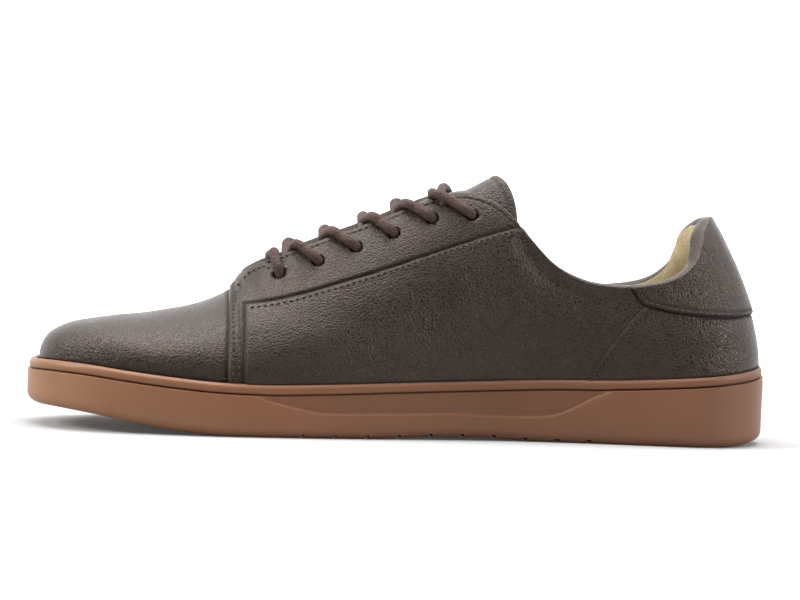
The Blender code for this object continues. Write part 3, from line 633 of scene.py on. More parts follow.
def relief(side, t, r, grid):
    """Height of the outer face over the upper's face: panels, folded edges, crevices, soft creases."""
    xz = grid[..., [0, 2]]
    front, strip, eye, back, tab = seam_distances(side, xz, grid[..., 1])
    tt, rr = t[:, None] * np.ones_like(grid[..., 0]), r[None, :] * np.ones_like(grid[..., 0])
    height = (lift(tt, rr) + PANEL) * rounded(front, FLAP_FOLD)
    height = height - trough(np.minimum(front, 0), FLAP_CREVICE)
    quarter = np.minimum(strip, -eye)
    thick = PANEL_GAP + PANEL + PANEL_SWELL
    height = overlay(height, quarter, thick, QUARTER_FOLD, QUARTER_CREVICE)
    counter = np.minimum(back, -tab)
    ridge = trough(back - COUNTER_RIDGE[1], COUNTER_RIDGE) * (tab < 0)
    below = height - trough(np.minimum(back, 0), COUNTER_CREVICE) * (tab < 0) * (back < 0)
    edge = below + (thick - below) * rounded(counter, COUNTER_FOLD)
    height = np.where(counter > 0, edge + ridge, below)
    height = overlay(height, tab, PANEL_GAP + TAB_PANEL + TAB_SWELL, TAB_FOLD, TAB_CREVICE, tab < 0)
    down = from_top(grid)
    lip = np.where((tt > THROAT_ROW[0]) & (tt < THROAT_ROW[1]), down - THROAT_ROW_DOWN, 1.0)
    rows = [front - ROW_INSIDE, quarter - EYE_ROW, lip, tab - TAB_ROW]
    rows.append(np.where(eye < 0, front - ROW_INSIDE - SECOND_ROW, 1.0))
    rows.append(np.where(tab < 0, back - BACK_ROW, 1.0))
    sewn = np.max([dip(row, STITCH_GROOVE[1]) for row in rows], axis=0)
    height = height - STITCH_GROOVE[0] * sewn
    return height, creases(rr, grid), (front, strip, eye, back, tab, sewn)


# Soft folds placed in the side view, in millimetres: one end, middle, other end, half width, depth
FOLDS = [
    # x0, z0, xm, zm, x1, z1, half width, depth
    (-134, 36.5, -118, 39.5, -98, 37.5, 3.2, 0.50),
    (42, 76.0, 58, 61.0, 88, 54.0, 3.4, 0.80),
    (48, 66.0, 62, 54.5, 84, 49.5, 4.0, 0.35),
    (-97, 33.0, -88, 40.0, -78, 50.0, 4.0, 0.22),
    (-60, 50.0, -40, 44.0, -18, 46.0, 5.0, 0.20),
    (-10, 45.0, 12, 51.0, 34, 60.0, 6.0, 0.22),
    (52, 36.0, 62, 43.0, 68, 52.0, 4.0, 0.22),
    (100, 34.0, 116, 37.0, 132, 36.0, 4.0, 0.25),
    (96, 64.0, 112, 60.0, 130, 62.0, 4.0, 0.20),
]


def creases(r, grid):
    """Soft troughs with a faint ridge beside them, and slow unevenness."""
    x, z = grid[..., 0] / MM, grid[..., 2] / MM
    total = np.zeros_like(x)
    for x0, z0, xm, zm, x1, z1, half, depth in FOLDS:
        s = np.linspace(0, 1, 9)[:, None]
        a, b, c = np.array([x0, z0]), np.array([xm, zm]), np.array([x1, z1])
        line = a * (1 - s) ** 2 + (2 * b - (a + c) / 2) * 2 * s * (1 - s) + c * s * s
        gap = signed(np.stack([x, z], -1), line)
        ends = np.hypot(x - xm, z - zm) / (0.5 * np.hypot(x1 - x0, z1 - z0) + half)
        fade = np.clip(1.25 - ends**3, 0, 1)
        total += fade * depth * (-dip(gap, half) + 0.35 * dip(gap - 1.9 * half, half))
    slow = np.sin(0.11 * x + 0.05 * z + 1.3) * np.sin(0.13 * z + 0.04 * x + 0.7)
    slow = slow + 0.6 * np.sin(0.23 * x - 0.17 * z + 2.1) * np.sin(0.19 * z + 0.9 + 0.06 * x)
    return (total + 0.16 * slow) * MM * ramp(r, (0.02, 0.12))


def skin_grid(side, angles, rises):
    """Outer face of one side with relief, its unit normals and its seam distances."""
    t = station_of(angles)
    grid = ribs(angles, side, rises)
    normal = normals_of(grid, side)
    for k in (0, len(angles) - 1):
        normal[k, :, 1] = 0
    near_toe = (t < 0.12) & (np.arange(len(t)) < len(t) - 1)
    if grid.shape[1] > 8:
        normal[near_toe, -4:] = normal[near_toe, -5:-4]
    normal = unit(normal)
    height, soft, marks = relief(side, t, rises, grid)
    return grid, normal, height, soft, marks


def rim_radius(t):
    padded = padding(t, np.ones_like(t))
    return (WALL + padded + PANEL_GAP + PANEL) / 2


def sink_eyelets(side, face):
    """Sinks the eyelets into the outer face, with a crisp rim. Returns 1 inside a hole, else 0."""
    inside = np.zeros(face.shape[:2])
    for station in np.linspace(EYELET_FIRST, EYELET_LAST, EYELET_PAIRS):
        centre, normal = surface_point(side, station, EYELET_INSET, 0.0)
        gap = face - centre
        deep = gap @ normal
        flat = gap - deep[..., None] * normal
        away = np.linalg.norm(flat, axis=2)
        near = (np.abs(deep) < 3 * MM) & (away > 1e-9)
        rim = near & (np.abs(away - EYELET_SHOWN) < EYELET_RIM)
        face[rim] += flat[rim] * (EYELET_SHOWN / away[rim] - 1)[:, None]
        hole = near & (away <= EYELET_SHOWN - EYELET_RIM)
        face[hole] -= EYELET_DEPTH * normal
        inside[hole] = 1.0
    return inside


def skin(side, along, up):
    """One side of the upper: outer face, rolled top edge and the lining inside. Returns the piece and
    what the stitches need: points and normals of its outer face."""
    shut = angle_of(RIDGE[-1][0])
    first = int(along * FRONT_SHARE)
    angles = np.concatenate([np.linspace(0, shut, first), np.linspace(shut, np.pi, along - first + 1)[1:]])
    rises = np.linspace(0, 1, up)
    t = station_of(angles)
    grid, normal, height, soft, marks = skin_grid(side, angles, rises)
    tip = unit(grid[:, -1] - grid[:, -4])
    swell = RIM_SWELL * rim_radius(t) * ramp(t, (RIDGE[-1][0], RIDGE[-1][0] + RIM_GROWS))
    sink = ramp(rises, RIM_FROM)[None, :] * swell[:, None]
    outer = grid + normal * (height + soft)[..., None] - tip[:, None] * sink[..., None]
    for k in (0, len(angles) - 1):
        outer[k, :, 1] = grid[k, :, 1]
    outer[:first, -1, 1] = grid[:first, -1, 1]
    holes = sink_eyelets(side, outer)
    top = (height + soft)[:, -1]
    inside = -(WALL + padding(t, np.ones_like(t)))
    base = grid[:, -1] - tip * swell[:, None]
    rim = []
    for phi in np.linspace(0, np.pi, RIM_ROWS + 1):
        out = (top + inside) / 2 + (top - inside) / 2 * np.cos(phi)
        rim.append(base + normal[:, -1] * out[:, None] + tip * (swell * np.sin(phi))[:, None])
    rim = np.stack(rim, 1)[first - 1 :]
    rim[0, 0] = outer[first - 1, -1]
    pick = list(range(up - 1, -1, -LINING_STEP))
    pick = pick + [0] if pick[-1] > 0 else pick
    wall = -(WALL + padding(t[:, None], rises[pick][None, :]))
    lining = grid[:, pick] + normal[:, pick] * wall[..., None] - tip[:, None] * sink[:, pick][..., None]
    lining[:first, 0, 1] = grid[:first, -1, 1]
    for k in (0, len(angles) - 1):
        lining[k, :, 1] = grid[k, 0, 1]
    foot = lining[:, -1:].copy()
    foot[..., 2] = (bottom_of(t) + SOLE_THICKNESS + 2 * CLEARANCE)[:, None]
    lining = np.concatenate([lining, foot], 1)
    throat = int(np.searchsorted(t, COLLAR_FROM)) - first + 1
    flip = side > 0
    cut = RIM_ROWS - RIM_LINING
    parts = [
        (outer, 0, flip),
        (rim[:, : cut + 1], 0, flip),
        (rim[: throat + 1, cut:], 2, flip),
        (rim[throat:, cut:], 1, flip),
        (lining[: throat + first], 2, flip),
        (lining[throat + first - 1 :], 1, flip),
    ]
    front, strip, eye, back, tab, sewn = marks
    quarter = np.minimum(strip, -eye)
    # Painted shade: the colour is darkened in the crevices beside the folded edges, along the back seam and
    # in the stitch grooves
    dark = np.zeros_like(front)
    for s, width in zip((front, quarter, tab), SEAM_SHADE):
        dark = np.maximum(dark, dip(np.minimum(s + 0.15 * MM, 0), width) * (s < 0.1 * MM))
    dark = np.maximum(dark, BACK_SHADE * dip(back, COUNTER_CREVICE[1]) * (tab < 0))
    dark = np.maximum(dark, SEWN_SHADE * sewn)
    # Painted shade on the two lowest rows, where the upper meets the sole's bead
    dark[:, :2] = 1.0
    # Painted shade fills the eyelet holes
    dark = np.maximum(dark, holes)
    painted = [dark] + [np.zeros(part[0].shape[:2]) for part in parts[1:]]
    painted[1][:throat] = RIM_SHADE
    name = "upper_skin_inner" if side < 0 else "upper_skin_outer"
    return grid_mesh(name, parts, painted), (outer, normal)


def new_object(name, data):
    obj = bpy.data.objects.new(name, data)
    bpy.context.scene.collection.objects.link(obj)
    return obj


def grid_mesh(name, grids, painted=None):
    """Welded smooth mesh from grids of points laid edge to edge. Each grid is (points, material index, flip),
    and painted holds the attribute of each that darkens its colour: painted shade, and darker edge bands."""
    verts, faces, mats, start = [], [], [], 0
    for grid, mat, flip in grids:
        rows, cols = grid.shape[:2]
        index = start + np.arange(rows * cols).reshape(rows, cols)
        a, b = index[:-1, :-1].ravel(), index[1:, :-1].ravel()
        c, d = index[1:, 1:].ravel(), index[:-1, 1:].ravel()
        quads = np.stack([a, b, c, d], 1)
        faces.append(quads[:, ::-1] if flip else quads)
        mats.append(np.full(len(quads), mat, np.int32))
        verts.append(grid.reshape(-1, 3))
        start += rows * cols
    mesh = bpy.data.meshes.new(name)
    mesh.from_pydata(np.concatenate(verts).tolist(), [], np.concatenate(faces).tolist())
    mesh.polygons.foreach_set("material_index", np.concatenate(mats))
    if painted is not None:
        # This attribute carries painted shade, and the darker edge bands
        layer = mesh.attributes.new("shade_and_edge_tone", "FLOAT", "POINT")
        layer.data.foreach_set("value", np.concatenate([dark.ravel() for dark in painted]).astype(np.float32))
    bm = bmesh.new()
    bm.from_mesh(mesh)
    bmesh.ops.remove_doubles(bm, verts=bm.verts, dist=WELD)
    bmesh.ops.dissolve_degenerate(bm, edges=bm.edges, dist=WELD / 2)
    for face in bm.faces:
        face.smooth = True
    bm.to_mesh(mesh)
    bm.free()
    return new_object(name, mesh)


# Materials
def nodes_for(name):
    mat = bpy.data.materials.new(name)
    mat.use_nodes = True
    tree = mat.node_tree
    return mat, tree, tree.nodes["Principled BSDF"]


def settings(node, values):
    for key, value in values.items():
        node.inputs[key].default_value = value


def link(tree, a, out, b, socket):
    tree.links.new(a.outputs[out], b.inputs[socket])


def add(tree, kind, feeds=(), **values):
    """A node with its values set. Feeds are triples: input socket, the node that feeds it, and its output."""
    node = tree.nodes.new(kind)
    for key, value in values.items():
        if key in node.inputs:
            node.inputs[key].default_value = value
        else:
            setattr(node, key, value)
    for socket, source, output in feeds:
        link(tree, source, output, node, socket)
    return node


def ramp_node(tree, stops, source, output):
    node = add(tree, "ShaderNodeValToRGB", [("Fac", source, output)])
    ramp_stops = node.color_ramp.elements
    ramp_stops[0].position, ramp_stops[0].color = stops[0][0], (*stops[0][1], 1)
    ramp_stops[1].position, ramp_stops[1].color = stops[-1][0], (*stops[-1][1], 1)
    for place, colour in stops[1:-1]:
        stop = ramp_stops.new(place)
        stop.color = (*colour, 1)
    return node


def noise(tree, where, scale, detail, **values):
    feed = [("Vector", where, "Object")]
    return add(tree, "ShaderNodeTexNoise", feed, Scale=scale, Detail=detail, **values)


def cells(tree, spots, scale):
    """Distance to the borders between rounded cells."""
    feed = [("Vector", spots, "Color")]
    return add(tree, "ShaderNodeTexVoronoi", feed, feature="DISTANCE_TO_EDGE", Scale=scale)


def remap(tree, source, output, **ends):
    """Maps 0 to 1, or the given ends, onto others. From_Max stands for the socket From Max, and so on."""
    sockets = {key.replace("_", " ") if "_M" in key else key: value for key, value in ends.items()}
    return add(tree, "ShaderNodeMapRange", [("Value", source, output)], **sockets)


def shade_crevices(tree, shader, colour, deep):
    """Paints shade: multiplies a colour by a deeper one where the mesh's attribute marks a crevice, groove,
    hole or dark edge band. Returns the node with that share.
    """
    shade_and_edge_tone = add(tree, "ShaderNodeAttribute", attribute_name="shade_and_edge_tone")
    feeds = [("Fac", shade_and_edge_tone, "Fac"), ("Color1", colour, "Color")]
    shaded = add(tree, "ShaderNodeMixRGB", feeds, blend_type="MULTIPLY", Color2=(*deep, 1))
    link(tree, shaded, "Color", shader, "Base Color")
    return shade_and_edge_tone


def bump(tree, shader, source, output, strength, distance):
    node = add(tree, "ShaderNodeBump", [("Height", source, output)], Strength=strength, Distance=distance)
    link(tree, node, "Normal", shader, "Normal")


def leather_look():
    """Tumbled full-grain leather: pebbles of a little over 1 mm, a light net between them, shade painted dark
    into crevices.
    """
    mat, tree, shader = nodes_for("leather_look")
    where = add(tree, "ShaderNodeTexCoord")
    warp = noise(tree, where, 300.0, 3.0)
    feeds = [("Color1", where, "Object"), ("Color2", warp, "Color")]
    spots = add(tree, "ShaderNodeMixRGB", feeds, blend_type="ADD", Fac=0.0022)
    large = cells(tree, spots, 800.0)
    pebble = remap(tree, large, "Distance", interpolation_type="SMOOTHSTEP", From_Max=0.22)
    fine = remap(tree, cells(tree, spots, 1250.0), "Distance", From_Max=0.30, To_Max=0.45)
    swell = noise(tree, where, 170.0, 4.0, Roughness=0.6)
    both = add(tree, "ShaderNodeMath", [(0, pebble, "Result"), (1, fine, "Result")], operation="ADD")
    whole = add(tree, "ShaderNodeMath", [(0, swell, "Fac"), (2, both, "Value")], operation="MULTIPLY_ADD")
    whole.inputs[1].default_value = LEATHER_SWELL
    bump(tree, shader, whole, "Value", 0.40, 0.30 * MM)
    patch = noise(tree, where, 45.0, 6.0, Roughness=0.65)
    tone = ramp_node(tree, [(0.32, LEATHER_DARK), (0.68, LEATHER_LIGHT)], patch, "Fac")
    thin = remap(tree, large, "Distance", interpolation_type="SMOOTHSTEP", From_Max=0.09)
    feeds = [("Fac", thin, "Result"), ("Color2", tone, "Color")]
    netted = add(tree, "ShaderNodeMixRGB", feeds, blend_type="MIX", Color1=(*LEATHER_NET, 1))
    # Painted shade: the colour turns darker in crevices, stitch grooves and eyelet holes, and along the
    # darker edge bands
    shade_and_edge_tone = shade_crevices(tree, shader, netted, (0.10, 0.07, 0.06))
    gloss = remap(tree, pebble, "Result", To_Min=0.42, To_Max=0.31)
    matt = add(tree, "ShaderNodeMath", [(0, shade_and_edge_tone, "Fac"), (2, gloss, "Result")], operation="MULTIPLY_ADD")
    matt.inputs[1].default_value = CREVICE_MATT
    link(tree, matt, "Value", shader, "Roughness")
    settings(shader, {"Specular IOR Level": 0.48, "Specular Tint": (1.0, 0.86, 0.76, 1)})
    return mat


def rubber_look():
    """Gum rubber, a little lighter towards the toe."""
    mat, tree, shader = nodes_for("gum_rubber_look")
    where = add(tree, "ShaderNodeTexCoord")
    split = add(tree, "ShaderNodeSeparateXYZ", [("Vector", where, "Object")])
    along = remap(tree, split, "X", From_Min=-LENGTH / 2, From_Max=LENGTH / 2)
    tone = ramp_node(tree, RUBBER_TONES, along, "Result")
    level = remap(tree, noise(tree, where, 60.0, 4.0), "Fac", To_Min=0.90, To_Max=1.08)
    feeds = [("Color1", tone, "Color"), ("Color2", level, "Result")]
    varied = add(tree, "ShaderNodeMixRGB", feeds, blend_type="MULTIPLY", Fac=1.0)
    # Painted shade: the colour turns darker in the groove under the bead and in the waist recess, and a
    # little on the bead's top
    shade_crevices(tree, shader, varied, (0.30, 0.20, 0.17))
    bump(tree, shader, noise(tree, where, 2600.0, 2.0), "Fac", 0.12, 0.2 * MM)
    settings(shader, {"Roughness": 0.50, "Subsurface Weight": 0.08, "Subsurface Scale": 2 * MM})
    return mat


def cloth_look(name, colour, thread=1400.0, strength=0.5, rough=0.95, sheen=0.3, deep=0.4 * MM):
    """Cloth, cord or thread: a fine nap at the given scale, in relief and in tone."""
    mat, tree, shader = nodes_for(name)
    where = add(tree, "ShaderNodeTexCoord")
    nap = noise(tree, where, thread, 3.0)
    feeds = [(0, nap, "Fac"), (1, noise(tree, where, 90.0, 3.0), "Fac")]
    both = add(tree, "ShaderNodeMath", feeds, operation="MULTIPLY")
    shade = tuple(0.62 * c for c in colour)
    tone = ramp_node(tree, [(0.10, shade), (0.36, colour)], both, "Value")
    link(tree, tone, "Color", shader, "Base Color")
    bump(tree, shader, nap, "Fac", strength, deep)
    settings(shader, {"Roughness": rough, "Sheen Weight": sheen})
    return mat


# Profile of the bead over the groove: inset in groove depths, height from the groove in bead heights
BEAD_PROFILE = [
    # inset, height
    (0.30, -0.13),
    (0.70, -0.07),
    (1.45, 0.00),
    (0.95, 0.08),
    (0.66, 0.18),
    (0.48, 0.45),
    (0.72, 0.72),
    (1.35, 0.90),
    (2.10, 0.97),
    (2.70, 0.96),
    (3.09, 0.88),
]


def recess_line(t):
    """Lower edge of the waist recess, and how deep the recess is there."""
    line = np.array(seam(RECESS, FOXING_HEIGHT))
    z = np.interp(x_of(t), line[:, 0], line[:, 1], left=1.0, right=1.0)
    high = groove_of(t) - 0.8 * MM
    z = np.minimum(z, high)
    return z, RECESS_DEPTH * ramp(high - z, (0.0, 1.2 * MM))


def closed_shell(name, angles, rows, shades=None):
    """Shell between both sides of the outline, closed across its first and last row. A row is an inset and
    a height at each angle."""
    sides = [np.stack([np.column_stack([inset(angles, side, d), z]) for d, z in rows], 1) for side in (-1, 1)]
    grids = [(sides[0], 0, True), (sides[1], 0, False)]
    for k, flip in ((0, True), (-1, False)):
        grids.append((np.stack([sides[0][:, k], sides[1][:, k]], 1), 0, flip))
    painted = None if shades is None else [shades, shades] + [np.zeros((len(angles), 2))] * 2
    return grid_mesh(name, grids, painted)


def make_sole():
    angles = np.linspace(0, np.pi, SOLE_COLUMNS)
    t = station_of(angles)
    under = bottom_of(t)
    line, depth = recess_line(t)
    groove = groove_of(t)
    recessed = depth / RECESS_DEPTH
    rows, dark = [], []
    flat = np.ones_like(t)

    def row(distance, z, shade=0.0):
        rows.append((distance * flat, z * flat))
        dark.append(shade * flat)

    row(EDGE_ROUND * 1.5, under)
    radius = EDGE_SHARE * EDGE_ROUND
    for phi in np.linspace(0, np.pi / 2, 7):
        row(radius * (1 - np.sin(phi)), under + radius * (1 - np.cos(phi)))
    low = under + radius
    for s in np.linspace(0, 1, 8)[1:]:
        row(0.0, low + (line - RECESS_STEP - low) * s)
    # Painted shade along the lower edge of the waist recess and inside the recess
    row(0.25 * depth, line, 0.15 * (depth > 0))
    row(0.80 * depth, line + RECESS_STEP, 0.5 * recessed)
    start = line + 2 * RECESS_STEP
    top = groove + BEAD_PROFILE[0][1] * BEAD_HEIGHT
    for s in np.linspace(0, 1, 8):
        row(depth * (1 - 0.15 * s) + 0.3 * GROOVE_DEPTH * s, start + (top - start) * s, 0.22 * recessed)
    for inset_share, rise in curve_through(BEAD_PROFILE, 3)[1:]:
        extra = depth * 0.85 * smooth((0.05 - rise) / 0.15)
        # Painted shade deep in the groove under the bead; the bead's top is painted a little darker
        shade = max(float(dip(rise, 0.07)), BEAD_SHADE * (rise > 0.12))
        row(inset_share * GROOVE_DEPTH + extra, groove + rise * BEAD_HEIGHT, shade)
    row(BEAD_DEPTH, under + SOLE_THICKNESS)
    sole = closed_shell("sole_skin", angles, rows, np.stack(dark, 1))
    cut_sipes(sole)
    return sole


def cut_sipes(sole):
    """Cuts the cross sipes, evenly spaced, into the underside."""
    boxes = bmesh.new()
    for station in np.linspace(SIPE_FIRST, SIPE_LAST, SIPE_COUNT):
        top = float(bottom_of(station)) + SIPE_DEPTH
        corners = bmesh.ops.create_cube(boxes, size=1)["verts"]
        bmesh.ops.scale(boxes, verts=corners, vec=(SIPE_WIDTH, 2 * BALL_WIDTH, 10 * SIPE_DEPTH))
        bmesh.ops.translate(boxes, verts=corners, vec=(x_of(station), 0, top - 5 * SIPE_DEPTH))
    mesh = bpy.data.meshes.new("sipes")
    boxes.to_mesh(mesh)
    boxes.free()
    carve(sole, new_object("sipes", mesh))


def carve(obj, cutter):
    """Cuts one object out of another for good, then removes it."""
    modifier = obj.modifiers.new("cut", "BOOLEAN")
    modifier.operation = "DIFFERENCE"
    modifier.object = cutter
    modifier.solver = "EXACT"
    graph = bpy.context.evaluated_depsgraph_get()
    result = bpy.data.meshes.new_from_object(obj.evaluated_get(graph))
    obj.modifiers.clear()
    old = obj.data
    obj.data = result
    bpy.data.meshes.remove(old)
    bpy.data.objects.remove(cutter, do_unlink=True)


def make_insole():
    """Footbed with a rounded rim. The profile is inset and height in insole thicknesses."""
    angles = np.linspace(0, np.pi, INSOLE_COLUMNS)
    rim = BEAD_DEPTH + 4 * CLEARANCE + WALL
    low = bottom_of(station_of(angles)) + SOLE_THICKNESS + CLEARANCE
    profile = [(0.15, 0.0), (0.0, 0.3), (0.0, 0.7), (0.12, 0.9), (0.45, 1.0), (2.0, 0.96), (5.0, 0.92)]
    rows = [(np.full(len(angles), rim + a * INSOLE_THICKNESS), low + b * INSOLE_THICKNESS)
            for a, b in curve_through(profile, 3)]
    return closed_shell("insole_skin", angles, rows)


def tongue_row(station, wing_points=14, bridge_points=25):
    """Points across the tongue's outer face at one station."""
    wings = []
    wing = TONGUE_WING + TONGUE_FLARE * ramp(station, (TONGUE_FLARE_FROM, TONGUE_STATIONS[1]))
    for side in (-1, 1):
        angles = angle_of(np.array([station - 0.004, station, station + 0.004]))
        coarse = ribs(angles, side, np.linspace(0, 1, 25))
        length = np.linalg.norm(np.diff(coarse[1], axis=0), axis=1).sum()
        rises = 1 - np.linspace(wing / length, 0, wing_points)
        grid = ribs(angles, side, np.concatenate([rises, [1.0 + 1e-3]]))
        normal = normals_of(grid, side)[1][:-1]
        depth = WALL + padding(np.full(wing_points, station), rises) + 2.5 * CLEARANCE
        wings.append(grid[1][:-1] - normal * depth[:, None])
    a, b = wings[0][-1], wings[1][-1]
    span = np.linalg.norm(b - a)
    out_a, out_b = (unit(wing[-1] - wing[-2]) * span * TONGUE_CROWN for wing in wings)
    s = np.linspace(0, 1, bridge_points + 2)[1:-1, None]
    middle = a * (1 - s) ** 3 + (a + out_a) * 3 * s * (1 - s) ** 2
    middle = middle + (b + out_b) * 3 * s * s * (1 - s) + b * s**3
    return np.concatenate([wings[0], middle, wings[1][::-1]])


def make_tongue():
    rows = [tongue_row(t) for t in np.linspace(TONGUE_STATIONS[0] - 0.006, TONGUE_STATIONS[1], 60)]
    last = rows[-1]
    before = tongue_row(TONGUE_STATIONS[1] - (TONGUE_STATIONS[1] - TONGUE_STATIONS[0]) / 6)
    along = unit(last[len(last) // 2] - before[len(last) // 2])
    crown = last[:, 2].max()
    middle = last[len(last) // 2, 1]
    for share in np.linspace(0, 1, 25)[1:]:
        lag = TONGUE_CORNER * (1 - np.exp((last[:, 2] - crown) / TONGUE_CORNER))
        row = last + along * (share * (TONGUE_REACH - TONGUE_SHORT + lag))[:, None]
        row[:, 1] = middle + (row[:, 1] - middle) * (1 - share * TONGUE_PINCH)
        row[:, 2] += share * (TONGUE_RISE + TONGUE_EXTRA_RISE)
        rows.append(row)
    over = np.array(rows)
    normal = unit(np.cross(np.gradient(over, axis=0), np.gradient(over, axis=1)))
    pace = np.linalg.norm(np.gradient(over, axis=0), axis=2)
    to_end = np.cumsum(pace[::-1], axis=0)[::-1] - pace[-1:]
    wide = np.linalg.norm(np.gradient(over, axis=1), axis=2)
    across = np.cumsum(wide, axis=1)
    to_side = np.minimum(across, across[:, -1:] - across)
    inside = np.minimum(to_end, to_side)
    half = TONGUE_THICKNESS / 2
    full = half * rounded(inside + 0.02 * MM, 1.6 * MM)
    fold = 0.35 * MM * dip(to_end - TONGUE_HEM, 0.5 * MM) * (to_side > 1 * MM)
    soft = 0.30 * MM * np.sin(over[..., 0] * 160) * np.sin(over[..., 1] * 210 + 1)
    core = over - normal * half
    outer = core + normal * (full - fold + soft * rounded(inside, 6 * MM))[..., None]
    inner = core - normal * full[..., None]
    # Painted shade in the fold of the hem, and a darker line along the tongue's rear edge
    fold_shade_and_edge = 0.6 * dip(to_end - TONGUE_HEM, 0.6 * MM) * (to_side > 1 * MM)
    fold_shade_and_edge = np.maximum(fold_shade_and_edge, 0.5 * dip(to_end, 0.8 * MM))
    return grid_mesh("tongue_skin", [(outer, 0, False), (inner, 1, True)], [fold_shade_and_edge, np.zeros_like(fold_shade_and_edge)])


def surface_point(side, station, from_edge, above, spread=0.004):
    """Point over a flap's outer face, and the normal there."""
    angles = angle_of(np.array([station - spread, station, station + spread]))
    rises = np.linspace(0, 1, 161)
    grid, normal, height, _, _ = skin_grid(side, angles, rises)
    k = int(np.argmin(np.abs(from_top(grid)[1] - from_edge)))
    return grid[1, k] + normal[1, k] * (height[1, k] + above), normal[1, k]


def tube(points, radius, sides=18, steps=10):
    """Grid of a round cord through points, with closed ends."""
    line = curve_through(points, steps)
    along = unit(np.gradient(line, axis=0))
    up = np.cross(along[0], [0.3, 0.2, 1.0])
    frames = []
    for tangent in along:
        up = unit(up - tangent * (up @ tangent))
        frames.append((up, np.cross(tangent, up)))
    phi = np.linspace(0, 2 * np.pi, sides + 1)
    reach = np.concatenate([[0.0, 0.0], np.cumsum(np.linalg.norm(np.diff(line, axis=0), axis=1))])[1:]
    rings = []
    for (u, v), centre, place in zip(frames, line, reach):
        wave = 1 + 0.030 * np.cos(2 * phi + place / (0.95 * MM)) + 0.02 * np.cos(5 * phi - place / (0.5 * MM))
        across, over = radius * np.cos(phi) * wave, radius * np.sin(phi) * wave
        rings.append(centre + across[:, None] * u + over[:, None] * v)
    rings[-1][-1] = rings[-1][0]
    caps = [np.repeat(line[:1], sides + 1, 0)] + rings + [np.repeat(line[-1:], sides + 1, 0)]
    return np.stack(caps)


def make_laces():
    stations = np.linspace(EYELET_FIRST, EYELET_LAST, EYELET_PAIRS)
    over = LACE_RADIUS + 0.15 * MM

    def way(start, end, side, dips, lean=0.3, hump=0.0):
        """Points of one strand over the flaps. It dips under the far flap or comes up over it."""
        spot = lambda on, share, edge, above: surface_point(on, start + share * (end - start), edge, above)[0]
        mark = lambda *where: spot(side, *where)
        far = lambda *where: spot(-side, *where)
        points = [mark(0.0, EYELET_INSET, -EYELET_DEPTH), mark(0.01, EYELET_INSET - 0.7 * MM, -0.8 * MM)]
        points.append(mark(0.28 * lean, EYELET_INSET - 2.2 * MM, 0.80 * over))
        points.append(mark(0.60 * lean, EYELET_INSET * 0.45, over))
        points.append(mark(lean, 0.4 * MM, over))
        if dips:
            lip = far(0.88, 0.0, -5.0 * MM)
            middle = points[-1] * 0.45 + lip * 0.55 + np.array([0, 0, hump])
            return points + [middle, lip, far(0.94, 4.0 * MM, -6.4 * MM)]
        middle = (points[-1] + far(0.7, 0.8 * MM, over)) / 2 - np.array([0, 0, 1.0 * MM])
        back = [far(0.75, 0.4 * MM, over), far(0.85, EYELET_INSET * 0.45, over)]
        back += [far(0.94, EYELET_INSET - 2.2 * MM, 0.80 * over), far(1.0, EYELET_INSET, -1.0 * MM)]
        return points + [middle] + back + [far(1.0, EYELET_INSET, -EYELET_DEPTH)]

    straight = tube(way(stations[0], stations[0], -1, False), LACE_RADIUS)
    pieces = [(grid_mesh("lace_bar_cord", [(straight, 0, False)]), "lace_bar")]
    for k in range(EYELET_PAIRS - 1):
        near = way(stations[k + 1], stations[k], -1, True, LACE_LEANS[k], LACE_HUMP)
        far = way(stations[k + 1], stations[k], 1, True, FAR_LEANS[k], FAR_HUMPS[k])
        strands = [(tube(near, LACE_RADIUS), 0, False), (tube(far, LACE_RADIUS), 0, False)]
        pieces.append((grid_mesh(f"lace_cross_{k + 1}_cord", strands), f"lace_cross_{k + 1}"))
    return pieces


STITCH_SHAPE = [
    # share of its length, thickness, rise over the face, in stitch widths
    (-0.5, 0.25, -0.35),
    (-0.3, 0.90, 0.30),
    (0.0, 1.00, 0.50),
    (0.3, 0.90, 0.30),
    (0.5, 0.25, -0.35),
]


def stitches(name, rows):
    """Short raised threads along seams. Each row is its points and its normals."""
    share, size, rise = np.array(STITCH_SHAPE).T[..., None]
    phi = np.linspace(0, 2 * np.pi, 7)[:, None]
    threads = []
    for points, normals in rows:
        pace = np.concatenate([[0], np.cumsum(np.linalg.norm(np.diff(points, axis=0), axis=1))])
        for place in np.arange(STITCH_PITCH / 2, pace[-1] - STITCH_LONG / 2, STITCH_PITCH):
            ends = np.array([place - STITCH_LONG / 2, place, place + STITCH_LONG / 2])
            spots = np.stack([np.interp(ends, pace, points[:, k]) for k in range(3)], 1)
            up = np.array([np.interp(place, pace, normals[:, k]) for k in range(3)])
            way = unit(spots[2] - spots[0])
            up = unit(up - way * (up @ way))
            ring = np.cos(phi) * np.cross(way, up) + np.sin(phi) * up
            line = spots[1] + way * share * STITCH_LONG + up * rise * STITCH_WIDE
            threads.append((line[:, None] + ring * size[..., None] * STITCH_WIDE, 0, True))
    return grid_mesh(name, threads)


def seam_row(line, inside, face):
    """A row of stitches that runs inside a side-view line, laid on the outer face of one side."""
    line = curve_through(line, 2)
    way = unit(np.gradient(line, axis=0))
    line = line + np.stack([way[:, 1], -way[:, 0]], 1) * inside
    points, normals, tree = face
    found = []
    for x, z in line:
        spots = tree.find_n((x, 0, z), 4)
        weights = np.array([1 / (s[2] + 1e-5) for s in spots])
        weights = weights / weights.sum()
        index = [s[1] for s in spots]
        found.append(((points[index] * weights[:, None]).sum(0), (normals[index] * weights[:, None]).sum(0)))
    return np.array([f[0] for f in found]), np.array([f[1] for f in found])


